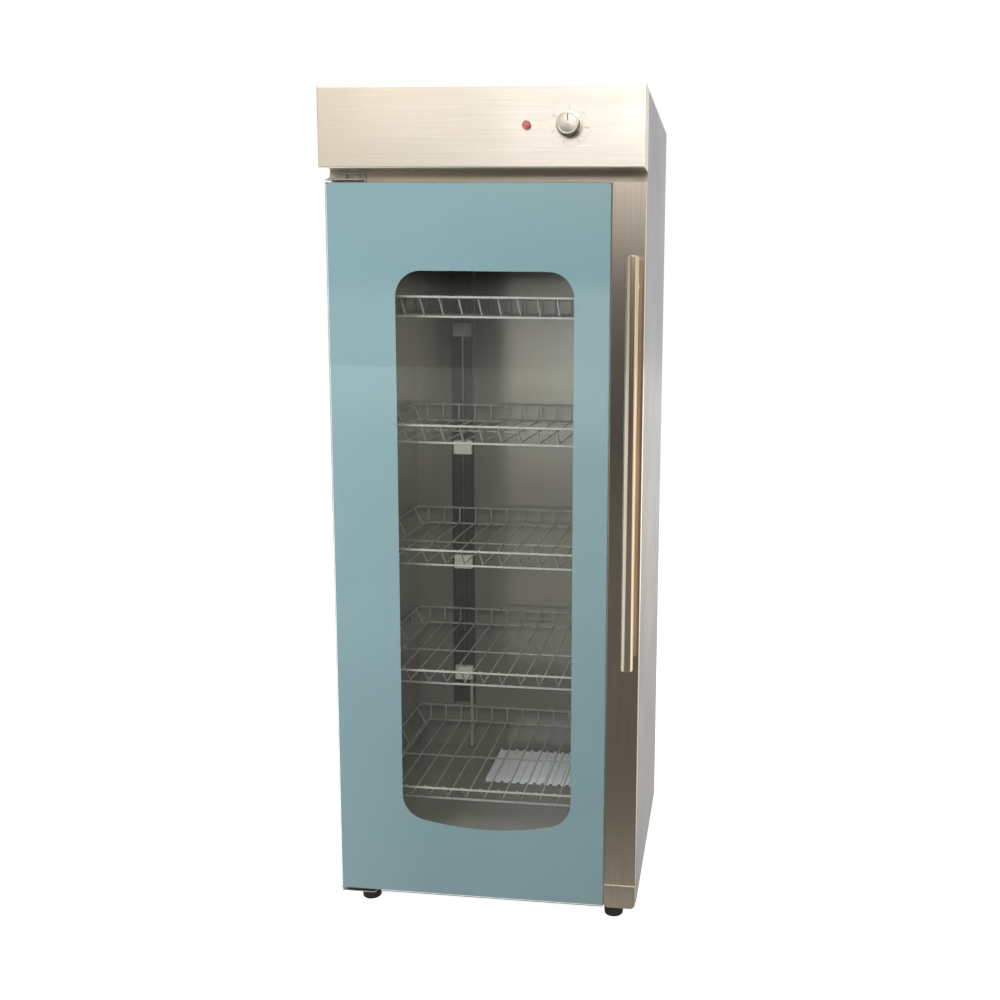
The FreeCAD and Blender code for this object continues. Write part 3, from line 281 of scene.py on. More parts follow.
# %% [markdown]
# ## Finishes
# Every finish starts from the Principled shader with its plain values in its own sockets. `vary`
# then lets colour and roughness follow patterns that are scaled in millimetres.

# %% A finish to start from
def start_finish(name, base, **plain):
    """A new material with the Principled shader set: returns it, its node tree and the shader."""
    material = bpy.data.materials.new(name)
    material.use_nodes = True
    tree = material.node_tree
    shader = tree.nodes["Principled BSDF"]
    shader.inputs["Base Color"].default_value = colour(base)
    for key, value in plain.items():
        shader.inputs[key.replace("_", " ").title().replace("Ior", "IOR")].default_value = value
    return material, tree, shader


def per_metre(size_mm):
    """Pattern scale that makes one cell of a pattern this many millimetres wide."""
    return 1.0 / (size_mm * MM)


def vary(tree, shader, tint_pattern, tints, rough_pattern, roughness):
    """Colour and roughness by pattern: each pair holds the value at the pattern's 0 and at its 1."""
    blend = add_node(tree, "ShaderNodeMix", {"data_type": "RGBA", 6: colour(tints[0]), 7: colour(tints[1])},
                     {0: tint_pattern})
    spread = add_node(tree, "ShaderNodeMapRange", {"To Min": roughness[0], "To Max": roughness[1]},
                      {"Value": rough_pattern})
    tree.links.new(blend.outputs[2], shader.inputs["Base Color"])
    tree.links.new(spread.outputs["Result"], shader.inputs["Roughness"])


# %% [markdown]
# ### Ground stainless steel
# The sheets are drawn under an abrasive belt, which leaves fine parallel scratches. Noise that is
# stretched 200 times along the belt's way gives them; real scratches are about 0.2 mm apart, and
# they are drawn 0.8 mm apart, or 0.5 mm on the handle's tube, so that they still show from two
# metres away. A second, much larger noise gives the cloudy handling marks that any steel cabinet
# collects.

# %% Ground stainless
level, upright = 0, 2                # the scratches run along X or along Z
drawn_out, cloud_share = 200, 0.3    # a scratch's stretch, and the clouds' share in the pattern
scratch_deep = 0.02 * MM


def ground_steel(name, light, dark, along, scratch_mm=0.8, smooth=0.24, rough=0.42, cloud_mm=160,
                 metallic=1.0):
    """Stainless sheet with its scratches along one axis."""
    material, tree, shader = start_finish(name, light, metallic=metallic)
    place = add_node(tree, "ShaderNodeTexCoord")
    stretch = [1.0, 1.0, 1.0]
    stretch[along] = 1 / drawn_out
    drawn = add_node(tree, "ShaderNodeMapping", {"Scale": stretch}, {"Vector": place.outputs["Object"]})
    scratches = add_node(tree, "ShaderNodeTexNoise", {"Scale": per_metre(scratch_mm), "Detail": 4.0,
                         "Roughness": 0.65}, {"Vector": drawn})
    clouds = add_node(tree, "ShaderNodeTexNoise", {"Scale": per_metre(cloud_mm), "Detail": 3.0},
                      {"Vector": place.outputs["Object"]})
    both = add_node(tree, "ShaderNodeMix", {"data_type": "FLOAT", 0: cloud_share}, {2: scratches, 3: clouds})
    crisp = add_node(tree, "ShaderNodeMapRange", {"From Min": 0.3, "From Max": 0.7}, {"Value": both})
    vary(tree, shader, crisp, (dark, light), crisp, (rough, smooth))
    bump = add_node(tree, "ShaderNodeBump", {"Strength": 1.0, "Distance": scratch_deep},
                    {"Height": scratches})
    tree.links.new(bump.outputs["Normal"], shader.inputs["Normal"])
    return material


# Head, rail, band and tube are one ground stainless, in copies painted lighter or darker for how bright each
# one's reflections are: painted light and painted shade.
# Pale and warm, with soft broad reflections.
head_steel = ground_steel("ground_stainless_warm", "#F3EEE7", "#DDD6CB", level)
rail_steel = ground_steel("ground_stainless_rail", "#D6CBBA", "#B8AD9C", level)
# Ground finer, so the room shows in it as upright streaks.
# The band's copy is painted darker than the head's, as painted shade for the dim room it reflects.
band_steel = ground_steel("ground_stainless_upright", "#C8BDAF", "#A99F92", upright, smooth=0.13, rough=0.25)
tube_steel = ground_steel("ground_stainless_tube", "#E2D8CA", "#C8BDAE", upright, scratch_mm=0.5,
                          smooth=0.12, rough=0.22)
# Satin sheet: cooler and greyer, with only a faint reflection.
side_steel = ground_steel("satin_stainless_sheet", "#A8AAAF", "#8D8F96", upright, smooth=0.3, rough=0.5,
                          cloud_mm=220)
skin_steel = ground_steel("satin_stainless_skin", "#A9A8A9", "#8F8E91", upright, smooth=0.3, rough=0.5,
                          cloud_mm=220)
# Steam and heat have left a film, which scatters part of the light as a paint does.
liner_steel = ground_steel("satin_stainless_liner", "#A19F97", "#94928B", upright, smooth=0.13, rough=0.2,
                           cloud_mm=120, metallic=0.5)
channel_steel = ground_steel("heat_darkened_steel", "#56524A", "#403D36", upright, smooth=0.35, rough=0.6,
                             cloud_mm=60, metallic=0.6)
print("8 ground steels")

# %% [markdown]
# ### The side panels' painted front highlight
# The folded front edges of the side panels show a bright highlight, which is painted into their colour. A
# second material would need its own faces, so the finish tells the two apart by place instead: all that
# lies ahead of a plane, just behind the foremost face, gets a lighter colour as a painted highlight.

# %% Painted highlight on the front edge
edge_deep = 0.4 * MM


def bare_front(material, front_y, code):
    """Gives what lies ahead of a plane its own colour: here a painted highlight."""
    tree = material.node_tree
    socket = tree.nodes["Principled BSDF"].inputs["Base Color"]
    place = add_node(tree, "ShaderNodeTexCoord")
    apart = add_node(tree, "ShaderNodeSeparateXYZ", links={"Vector": place.outputs["Object"]})
    ahead = add_node(tree, "ShaderNodeMath", {"operation": "LESS_THAN", 1: front_y},
                     {0: apart.outputs["Y"]})
    # mixes in the lighter colour of the painted highlight
    bare = add_node(tree, "ShaderNodeMix", {"data_type": "RGBA", 7: colour(code)},
                    {0: ahead, 6: socket.links[0].from_socket})
    tree.links.new(bare.outputs[2], socket)


edge_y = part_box("side_panel_right")[0].y
# the front edges' painted highlight: a lighter, warmer colour
bare_front(side_steel, edge_y + edge_deep, "#CEC2B1")
print("front edge at", round(edge_y, 4))

# %% [markdown]
# ### Coated metals
# Galvanised sheet shows flat crystals, the spangle, about 6 mm across: a Voronoi pattern gives
# each crystal its own grey. Zinc plate, polished steel and chrome are smooth, and only their
# grey and their gloss wander in patches.

# %% Galvanised, zinc and chrome
spangle_mm = 6.0


def galvanised():
    """Hot-dip galvanised sheet with its spangle: a dull patchwork of greys."""
    material, tree, shader = start_finish("galvanised_spangle", "#A8ABAE", metallic=1.0)
    place = add_node(tree, "ShaderNodeTexCoord")
    crystals = add_node(tree, "ShaderNodeTexVoronoi", {"Scale": per_metre(spangle_mm)},
                        {"Vector": place.outputs["Object"]})
    grey = add_node(tree, "ShaderNodeSeparateColor", links={"Color": crystals.outputs["Color"]})
    vary(tree, shader, grey.outputs["Red"], ("#9B9EA1", "#B0B3B6"), grey.outputs["Green"], (0.38, 0.5))
    return material


def plated(name, light, dark, smooth, rough, patch_mm, metallic=1.0):
    """Smooth bright metal whose grey and gloss wander in patches."""
    material, tree, shader = start_finish(name, light, metallic=metallic)
    place = add_node(tree, "ShaderNodeTexCoord")
    patches = add_node(tree, "ShaderNodeTexNoise", {"Scale": per_metre(patch_mm), "Detail": 4.0},
                       {"Vector": place.outputs["Object"]})
    vary(tree, shader, patches, (dark, light), patches, (rough, smooth))
    return material


galvanised_sheet = galvanised()
# A soft grey shine on screws and hinges.
zinc = plated("zinc_plate", "#C9C8C2", "#A3A29C", smooth=0.22, rough=0.45, patch_mm=6.0)
# Polished, so it mirrors the room softly.
polished = plated("polished_stainless", "#D2CDC3", "#B5AFA4", smooth=0.12, rough=0.26, patch_mm=10.0)
# Pale wire, dulled by steam, that shows against the dark chamber.
chrome = plated("chromed_wire", "#DAD8D0", "#A8A69E", smooth=0.2, rough=0.42, patch_mm=14.0, metallic=0.5)
print("galvanised, zinc, polished and chromed")

# %% [markdown]
# ### Glass
# The door's pane is 5 mm float glass: clear, slightly green, and perfectly smooth. The heater's
# tubes are quartz, with a trace of yellow. To shadow rays each is a Transparent shader, because
# light has to reach what is behind it.

# %% Glass
glass_ior = 1.52


def clear_pane(name, tint, clearness):
    """Smooth glass that lets shadow rays pass."""
    material, tree, shader = start_finish(name, tint, roughness=0.0, ior=glass_ior, transmission_weight=1.0)
    rays = add_node(tree, "ShaderNodeLightPath")
    passing = add_node(tree, "ShaderNodeBsdfTransparent", {"Color": colour(clearness)})
    glass = add_node(tree, "ShaderNodeMixShader", links={
        0: rays.outputs["Is Shadow Ray"], 1: shader, 2: passing})
    tree.links.new(glass.outputs[0], tree.nodes["Material Output"].inputs["Surface"])
    return material


float_glass = clear_pane("float_glass", "#FBFEFD", "#FBFDFC")
quartz_glass = clear_pane("quartz_glass", "#FBFAF6", "#F2F0EA")
print("glass and quartz")

# %% [markdown]
# ### Enamel
# The door's blue-green field is a ceramic colour, screened onto the back of the pane and fired.
# Seen through the glass it is even, with faint clouds from the squeegee about 340 mm wide.

# %% Enamel
squeegee_mm, grit_mm = 340, 1.2


def fired_enamel():
    """Ceramic colour fired behind glass."""
    material, tree, shader = start_finish("fired_enamel", "#7A9496", roughness=0.35)
    place = add_node(tree, "ShaderNodeTexCoord")
    clouds = add_node(tree, "ShaderNodeTexNoise", {"Scale": per_metre(squeegee_mm), "Detail": 2.0},
                      {"Vector": place.outputs["Object"]})
    grit = add_node(tree, "ShaderNodeTexNoise", {"Scale": per_metre(grit_mm), "Detail": 2.0},
                    {"Vector": place.outputs["Object"]})
    vary(tree, shader, clouds, ("#738C90", "#819CA1"), grit, (0.3, 0.42))
    return material


teal_enamel = fired_enamel()
print("enamel")

# %% [markdown]
# ### Rubber, plastic, ceramic and wool
# Moulded parts carry the fine grain of their mould, which is drawn as relief, and patches of
# dust and wear 25 grains wide change their colour and gloss. Wool and the braided sleeve are not
# moulded, but a coarser and deeper grain serves them as well, because they hardly show.

# %% Moulded and soft finishes
dust_grains = 25


def moulded(name, light, dark, grain_mm, deep_mm, smooth, rough, **plain):
    """Plastic, rubber, ceramic or fibre with a fine grain."""
    material, tree, shader = start_finish(name, light, **plain)
    place = add_node(tree, "ShaderNodeTexCoord")
    grain = add_node(tree, "ShaderNodeTexNoise", {"Scale": per_metre(grain_mm), "Detail": 4.0},
                     {"Vector": place.outputs["Object"]})
    dust = add_node(tree, "ShaderNodeTexNoise", {"Scale": per_metre(grain_mm * dust_grains), "Detail": 3.0},
                    {"Vector": place.outputs["Object"]})
    vary(tree, shader, dust, (dark, light), dust, (rough, smooth))
    bump = add_node(tree, "ShaderNodeBump", {"Strength": 1.0, "Distance": deep_mm * MM}, {"Height": grain})
    tree.links.new(bump.outputs["Normal"], shader.inputs["Normal"])
    return material


# Dull blacks and greys, whose edges only just catch the light.
rubber = moulded("black_rubber", "#2A2A2A", "#161616", grain_mm=0.8, deep_mm=0.05, smooth=0.6, rough=0.85)
foam = moulded("black_foam_tape", "#262626", "#181818", grain_mm=1.0, deep_mm=0.1, smooth=0.8, rough=0.95)
seal_rubber = moulded("grey_silicone", "#8B8D8C", "#747675", grain_mm=1.2, deep_mm=0.03,
                      smooth=0.45, rough=0.65)
# Plastics, with a soft sheen; the pilot lamp's is polished and shines.
nylon = moulded("white_nylon", "#E6E5E0", "#D6D5D0", grain_mm=0.6, deep_mm=0.02, smooth=0.35, rough=0.5)
plastic = moulded("black_plastic", "#2E2E30", "#202022", grain_mm=0.5, deep_mm=0.03, smooth=0.38, rough=0.55)
red_plastic = moulded("red_lamp_plastic", "#A0565A", "#823C42", grain_mm=0.8, deep_mm=0.01,
                      smooth=0.12, rough=0.2)
# Glazes, nearly white; the tray's has a thin clear coat.
steatite = moulded("glazed_steatite", "#FBFAF4", "#EFEDE6", grain_mm=0.7, deep_mm=0.04,
                   smooth=0.2, rough=0.4)
tray_enamel = moulded("blue_white_enamel", "#FAFBFF", "#EEF0F6", grain_mm=1.5, deep_mm=0.02,
                      smooth=0.15, rough=0.3, coat_weight=0.3)
# Fibres, without any shine.
wool = moulded("mineral_wool", "#C9BD93", "#A39769", grain_mm=1.5, deep_mm=0.8, smooth=0.9, rough=1.0)
sleeve = moulded("braided_glass_sleeve", "#C5C1B4", "#A29E92", grain_mm=1.0, deep_mm=0.2,
                 smooth=0.7, rough=0.9)
print("10 moulded finishes")

# %% [markdown]
# ### Finishes on the CAD parts
# Each construction part keeps its shape and gets its finish. The names on the left are finishes
# and the lists are the parts that wear them.

# %% Dress the CAD parts
worn_by = {
    head_steel: ["head_fascia", "dial_plate"],
    band_steel: ["steel_band", "band_end_cap"],
    rail_steel: ["front_rail_top", "front_rail_bottom"],
    side_steel: ["side_panel_left", "side_panel_right"],
    skin_steel: ["top_cover", "door_frame", "door_inner_skin"],
    tube_steel: ["handle_tube"],
    liner_steel: ["liner_left", "liner_right", "liner_back", "liner_ceiling", "liner_floor"],
    channel_steel: ["heater_channel"],
    galvanised_sheet: ["back_panel", "head_partition", "base_pan"],
    zinc: ["panel_screws", "foot_bolts", "hinge_brackets", "hinge_pins", "hinge_screws", "handle_screws",
           "timer_shaft", "rack_studs"],
    polished: ["handle_caps", "handle_posts", "indicator_bezel", "timer_knob", "knob_face"],
    chrome: ["rack_1", "rack_2", "rack_3", "rack_4", "rack_5"],
    float_glass: ["door_glass"],
    quartz_glass: ["heater_tubes"],
    teal_enamel: ["glass_print"],
    rubber: ["foot_pads", "door_catch", "control_leads", "floor_grommet"],
    foam: ["bonding_tape"],
    seal_rubber: ["door_gasket"],
    nylon: ["hinge_bushes"],
    plastic: ["timer_body", "lamp_body", "terminal_block", "cable_gland", "thermostat"],
    steatite: ["tube_holders"],
    red_plastic: ["indicator_lens"],
    wool: ["insulation_slabs"],
    sleeve: ["heater_lead"],
    tray_enamel: ["drip_tray"],
}
for finish, names in worn_by.items():
    for name in names:
        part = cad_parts[name].data
        part.materials.clear()
        part.materials.append(finish)
bare = set(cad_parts) - {name for names in worn_by.values() for name in names}
print("dressed", len(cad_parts) - len(bare), "parts; bare:", sorted(bare))

# %% [markdown]
# ## Modelling by hand
# New pieces are made with Blender's own edit operators, which act on all that is selected.
# `select_only` keeps that in hand, `settle` writes an object's place into its mesh, `edit` and
# `done` open and close edit mode, `pick` selects by place or direction in it, `block` makes a box
# to be shaped, and `carried_by` gives the finished piece its finish and body and hides the parts it stands
# for.

# %% Modelling helpers
def select_only(*pieces):
    """Selects these pieces and nothing else; the first becomes the active one."""
    bpy.ops.object.select_all(action="DESELECT")
    for piece in pieces:
        piece.select_set(True)
    bpy.context.view_layer.objects.active = pieces[0]


def settle(piece):
    """Applies place, turn and size, so that the object sits at the origin."""
    select_only(piece)
    bpy.ops.object.transform_apply(location=True, rotation=True, scale=True)


def edit(piece):
    """Opens a piece in edit mode with nothing selected."""
    select_only(piece)
    bpy.ops.object.mode_set(mode="EDIT")
    bpy.ops.mesh.select_all(action="DESELECT")


def done(smooth_below=30.0):
    """Leaves edit mode, makes normals point out and smooths all but edges sharper than an angle."""
    bpy.ops.mesh.select_all(action="SELECT")
    bpy.ops.mesh.normals_make_consistent(inside=False)
    bpy.ops.object.mode_set(mode="OBJECT")
    bpy.ops.object.shade_smooth_by_angle(angle=math.radians(smooth_below))


def pick(piece, kind, test):
    """In edit mode, selects only the verts, edges or faces that pass a test; returns how many did."""
    bpy.ops.mesh.select_all(action="DESELECT")
    bpy.ops.mesh.select_mode(type={"verts": "VERT", "edges": "EDGE", "faces": "FACE"}[kind])
    shape = bmesh.from_edit_mesh(piece.data)
    chosen = [part for part in getattr(shape, kind) if test(part)]
    for part in chosen:
        part.select_set(True)
    shape.select_flush_mode()
    bmesh.update_edit_mesh(piece.data)
    return len(chosen)


def runs_back(edge, nearly=0.9):
    """True for an edge that runs from front to back, or nearly so."""
    way = edge.verts[1].co - edge.verts[0].co
    return abs(way.y) > nearly * way.length


def block(name, low, high):
    """A box from its lowest to its highest corner, ready to be shaped."""
    low, high = Vector(low), Vector(high)
    bpy.ops.object.select_all(action="DESELECT")
    bpy.ops.mesh.primitive_cube_add(size=1.0, location=(low + high) / 2)
    piece = bpy.context.object
    piece.name = piece.data.name = name
    piece.scale = high - low
    settle(piece)
    return piece


def carried_by(piece, body, slot, finish, *nodes):
    """Gives a piece its finish, its body and the CAD nodes that it stands for, which it hides; slot is not
    used.
    """
    piece.data.materials.clear()
    piece.data.materials.append(finish)
    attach(piece, body)
    if nodes:
        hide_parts(*nodes)
    print(piece.name, "has", len(piece.data.polygons), "faces and rides on", body)


# %% [markdown]
# ## The door's pane
# Toughened glass is cut, its corners are rounded and its edges are ground to a small flat, the
# arris, before it goes into the furnace. A block gets the round corners from a bevel of its four
# short edges, and the arris from a second bevel of the two outlines. It stands a hair clear of
# the enamel, so that no ray meets both at once.

# %% Glass pane
glass_corner, glass_arris, enamel_clearance = 5 * MM, 0.8 * MM, 0.1 * MM
low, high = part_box("door_glass")
high.y -= enamel_clearance
pane = block("glass_pane", low, high)
edit(pane)
pick(pane, "edges", runs_back)
bpy.ops.mesh.bevel(offset=glass_corner, segments=8)
pick(pane, "edges", lambda edge: not runs_back(edge))
bpy.ops.mesh.bevel(offset=glass_arris, segments=2)
done(smooth_below=20)
carried_by(pane, "door", "clear_glass", float_glass, "door_glass")

# %% [markdown]
# ## The timer knob
# The knob is turned from aluminium bar: a plain skirt, a grip with fine flutes, a raised ring and
# a spun face. `turned` works like a lathe: it extrudes a disc ring by ring, to each height and
# radius of a profile. The flutes are cut by pulling every other corner of the grip's two rings
# towards the axis.

# %% A lathe
def turned(name, profile, segments):
    """A round piece along +Z, left in edit mode, from a profile of radii and heights."""
    radius, height = profile[0]
    bpy.ops.object.select_all(action="DESELECT")
    bpy.ops.mesh.primitive_circle_add(vertices=segments, radius=radius, fill_type="NGON",
                                      location=(0, 0, height))
    piece = bpy.context.object
    piece.name = piece.data.name = name
    settle(piece)
    bpy.ops.object.mode_set(mode="EDIT")
    bpy.ops.mesh.select_all(action="SELECT")
    for next_radius, next_height in profile[1:]:
        bpy.ops.mesh.extrude_region_move(TRANSFORM_OT_translate={"value": (0, 0, next_height - height)})
        share = next_radius / radius
        bpy.ops.transform.resize(value=(share, share, 1), center_override=(0, 0, next_height))
        radius, height = next_radius, next_height
    return piece


# %% Knob body
low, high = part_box("timer_knob")
knob_middle = (low + high) / 2
knob_back, knob_tip = high.y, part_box("knob_face")[0].y
knob_tall = knob_back - knob_tip
skirt_radius = (high.x - low.x) / 2
grip_radius, skirt_tall, flutes, flute_cut = 0.88 * skirt_radius, 4 * MM, 60, 0.035
knob = turned("knob_body", [
    (0.80 * skirt_radius, 0.0),                         # underside
    (skirt_radius - 0.6 * MM, 0.0),
    (skirt_radius, 0.6 * MM),                           # skirt
    (skirt_radius, skirt_tall - 1.2 * MM),
    (skirt_radius - 1.2 * MM, skirt_tall),
    (grip_radius, skirt_tall + 0.2 * MM),               # grip
    (grip_radius - 0.8 * MM, knob_tall - 3.0 * MM),
    (grip_radius - 1.3 * MM, knob_tall - 1.4 * MM),     # raised ring
    (grip_radius - 2.6 * MM, knob_tall - 0.5 * MM),
    (grip_radius - 4.6 * MM, knob_tall - 0.5 * MM),
    (grip_radius - 5.0 * MM, knob_tall - 1.1 * MM),     # spun face, highest at its middle
    (grip_radius - 9.0 * MM, knob_tall - 0.9 * MM),
    (0.6 * MM, knob_tall - 0.4 * MM),
], segments=2 * flutes)


def on_flute(vertex):
    """True for every other corner of the grip's two rings."""
    radius = vertex.co.xy.length
    step = math.atan2(vertex.co.y, vertex.co.x) / math.tau * 2 * flutes
    on_grip = grip_radius - 1.0 * MM < radius < grip_radius + 0.1 * MM and vertex.co.z > skirt_tall
    return on_grip and round(step) % 2 == 0


print("flute corners:", pick(knob, "verts", on_flute))
bpy.ops.transform.resize(value=(1 - flute_cut, 1 - flute_cut, 1), center_override=(0, 0, knob_tall / 2))
done(smooth_below=25)
knob.rotation_euler = FRONT
knob.location = (knob_middle.x, knob_back, knob_middle.z)
settle(knob)
carried_by(knob, "timer_dial", "spun_aluminium", polished, "timer_knob", "knob_face")

# %% [markdown]
# A dark bar that is let into the spun face points at the dial. It starts off the middle, ends
# just inside the raised ring and has rounded corners.

# %% Knob pointer
pointer_wide, pointer_deep, pointer_round = 1.6 * MM, 1.3 * MM, 0.6 * MM
pointer_start, ring_wide, below_tip = 4 * MM, 5.2 * MM, 0.1 * MM
pointer_front = knob_tip + below_tip
pointer = block("knob_pointer",
                (knob_middle.x - pointer_wide / 2, pointer_front, knob_middle.z + pointer_start),
                (knob_middle.x + pointer_wide / 2, pointer_front + pointer_deep,
                 knob_middle.z + grip_radius - ring_wide))
edit(pointer)
pick(pointer, "edges", runs_back)
bpy.ops.mesh.bevel(offset=pointer_round, segments=3)
done()
carried_by(pointer, "timer_dial", "black_plastic", plastic)

# %% [markdown]
# ## The dial's marks
# The dial is printed straight on the brushed plate: a long stroke every ten minutes, short ones
# every two minutes between, and plain numbers from 0 to 60 over the knob's 300 degrees. A stroke
# is a flat block that is turned to its place; a number is text turned into a thin mesh. `join`
# makes one piece of them all.

# %% Dial strokes and numbers
def join(pieces, name):
    """Joins pieces into the first of them and names it."""
    select_only(*pieces)
    bpy.ops.object.join()
    joined = bpy.context.object
    joined.name = joined.data.name = name
    return joined


ink_thick, ink_lift = 0.05 * MM, 0.02 * MM
ink_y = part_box("dial_plate")[0].y - ink_lift
minutes, minutes_apart, minutes_numbered, sweep = 60, 2, 10, 300
stroke_inner, number_radius, number_tall = 27.0 * MM, 34.5 * MM, 5.5 * MM
main_long, main_wide, fine_long, fine_wide = 4.0 * MM, 0.7 * MM, 2.4 * MM, 0.45 * MM
ink_parts = []
for minute in range(0, minutes + 1, minutes_apart):
    numbered = minute % minutes_numbered == 0
    long, wide = (main_long, main_wide) if numbered else (fine_long, fine_wide)
    stroke = block("stroke", (-wide / 2, -ink_thick, stroke_inner), (wide / 2, 0, stroke_inner + long))
    stroke.rotation_euler = (0, math.radians(sweep * minute / minutes), 0)
    stroke.location = (knob_middle.x, ink_y, knob_middle.z)
    settle(stroke)
    ink_parts.append(stroke)
for minute in range(0, minutes + 1, minutes_numbered):
    angle = math.radians(sweep * minute / minutes)     # clockwise from the top
    spot = (knob_middle.x + number_radius * math.sin(angle), ink_y,
            knob_middle.z + number_radius * math.cos(angle))
    bpy.ops.object.select_all(action="DESELECT")
    bpy.ops.object.text_add(location=spot, rotation=FRONT)
    number = bpy.context.object
    number.data.body = str(minute)
    number.data.size = number_tall
    number.data.align_x, number.data.align_y = "CENTER", "CENTER"
    number.data.extrude = ink_thick / 2
    bpy.ops.object.convert(target="MESH")
    settle(number)
    ink_parts.append(number)
dial_marks = join(ink_parts, "dial_marks")
# Matt grey ink, which stands out only a little from the steel.
ink = moulded("printed_ink_grey", "#9A968D", "#8A867E", grain_mm=0.5, deep_mm=0.005, smooth=0.5, rough=0.6)
carried_by(dial_marks, "root", "dial_white", ink)

# %% [markdown]
# ## The pilot lamp's lens
# The lens is a shallow dome of red plastic with a flat rim that covers most of the bezel. It is
# turned like the knob, with a step at the rim, and five fine rings, moulded in to spread the
# light, are pressed into the dome.

# %% Pilot lens
bezel_low, bezel_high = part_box("indicator_bezel")
bezel_middle = (bezel_low + bezel_high) / 2
bezel_shown, rim_wide, rim_tall, rim_round = 1.2 * MM, 1.0 * MM, 0.8 * MM, 0.2 * MM
dome_tall, rings, ring_steps, groove_deep, lens_gap = 2.6 * MM, 5, 4, 0.12 * MM, 0.05 * MM
lens_radius = (bezel_high.x - bezel_low.x) / 2 - bezel_shown
dome_radius = lens_radius - rim_wide
profile = [(lens_radius - rim_round, 0.0), (lens_radius, rim_round), (lens_radius, rim_tall - rim_round),
           (lens_radius - rim_round, rim_tall), (dome_radius, rim_tall)]
for step in range(1, ring_steps * rings):
    slope = math.pi / 2 * step / (ring_steps * rings)
    groove = groove_deep if step % ring_steps == ring_steps / 2 else 0.0
    profile.append((dome_radius * math.cos(slope), rim_tall + dome_tall * math.sin(slope) - groove))
lens = turned("pilot_lens", profile, segments=48)
done(smooth_below=40)
lens.rotation_euler = FRONT
lens.location = (bezel_middle.x, bezel_low.y - lens_gap, bezel_middle.z)
settle(lens)
carried_by(lens, "root", "red_lens", red_plastic, "indicator_lens")

# %% [markdown]
# ## The door seal
# A fridge-type seal is one extrusion: a hump that holds the magnet, and a bellows fold on each
# side that lets it reach the frame. Starting from a plain rectangle as large as the seal, each
# inset steps across the section and its depth follows the section's height. That mitres all four
# corners, as the real seal's corners are welded. The middle is deleted, and a Solidify modifier
# gives the rubber its wall.

# %% Seal
wall = 0.7 * MM
seal_low, seal_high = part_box("door_gasket")
seal_deep = seal_high.y - seal_low.y - wall
# Each step of half the section: millimetres across, and rise as a share of the seal's depth.
half_section = [(0.6, 0.40), (1.3, 0.10), (0.7, -0.26), (0.8, 0.34), (1.4, 0.38), (1.2, 0.04)]
seal_steps = half_section + [(across_mm, -rise) for across_mm, rise in reversed(half_section)]
bpy.ops.object.select_all(action="DESELECT")
bpy.ops.mesh.primitive_plane_add(size=1.0, rotation=BACK,
                                 location=((seal_low.x + seal_high.x) / 2, seal_low.y + wall,
                                           (seal_low.z + seal_high.z) / 2))
seal = bpy.context.object
seal.name = seal.data.name = "seal_bellows"
seal.scale = (seal_high.x - seal_low.x, seal_high.z - seal_low.z, 1)
settle(seal)
bpy.ops.object.mode_set(mode="EDIT")
bpy.ops.mesh.select_all(action="SELECT")
for across_mm, rise in seal_steps:
    bpy.ops.mesh.inset(thickness=across_mm * MM, depth=rise * seal_deep)
bpy.ops.mesh.delete(type="FACE")
bpy.ops.object.mode_set(mode="OBJECT")
skin = seal.modifiers.new("wall", "SOLIDIFY")
skin.thickness, skin.offset = wall, -1.0
bpy.ops.object.modifier_apply(modifier=skin.name)
edit(seal)
done(smooth_below=20)
print("seal:", round(sum(across_mm for across_mm, rise in seal_steps), 2), "mm wide")
carried_by(seal, "door", "grey_seal", seal_rubber, "door_gasket")

# %% [markdown]
# ## The end cap of the steel band
# The band's lower end is covered by a folded cap whose upper edge is rolled outwards, so that no
# raw sheet edge meets a hand. The cap keeps the construction's shape: its mesh is copied, its
# doubles are merged, and weighted normals let its flat faces look flat beside its round edges.
# The roll is a slim block with its front edges rounded, joined to the copy.

# %% End cap with its rolled edge
merge_within = 0.001 * MM
roll_proud, roll_sunk, roll_tall, roll_round = 0.9 * MM, 1.1 * MM, 4.0 * MM, 0.9 * MM
cap_low, cap_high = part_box("band_end_cap")
rolled_edge = block("rolled_edge", (cap_low.x, cap_low.y - roll_proud, cap_high.z - roll_tall),
                    (cap_high.x, cap_low.y + roll_sunk, cap_high.z))
edit(rolled_edge)
pick(rolled_edge, "edges", lambda edge: all(vertex.co.y < cap_low.y for vertex in edge.verts))
bpy.ops.mesh.bevel(offset=roll_round, segments=4)
done(smooth_below=40)
cap = bpy.data.objects.new("end_cap_rolled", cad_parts["band_end_cap"].data.copy())
bpy.context.scene.collection.objects.link(cap)
edit(cap)
bpy.ops.mesh.select_all(action="SELECT")
bpy.ops.mesh.remove_doubles(threshold=merge_within)
done()
flat_faces = cap.modifiers.new("flat_faces", "WEIGHTED_NORMAL")
bpy.ops.object.modifier_apply(modifier=flat_faces.name)
rolled_cap = join([cap, rolled_edge], "end_cap_rolled")
carried_by(rolled_cap, "door", "brushed_stainless", band_steel, "band_end_cap")

# %% [markdown]
# ## Screw heads
# A pan head is a low dome with a cross recess. It is modelled once and copied to the place of
# every hinge screw and every screw of the back panel. `solids_of` finds those places: it merges a
# copy of a node's mesh and walks from vertex to vertex until each separate solid is known.

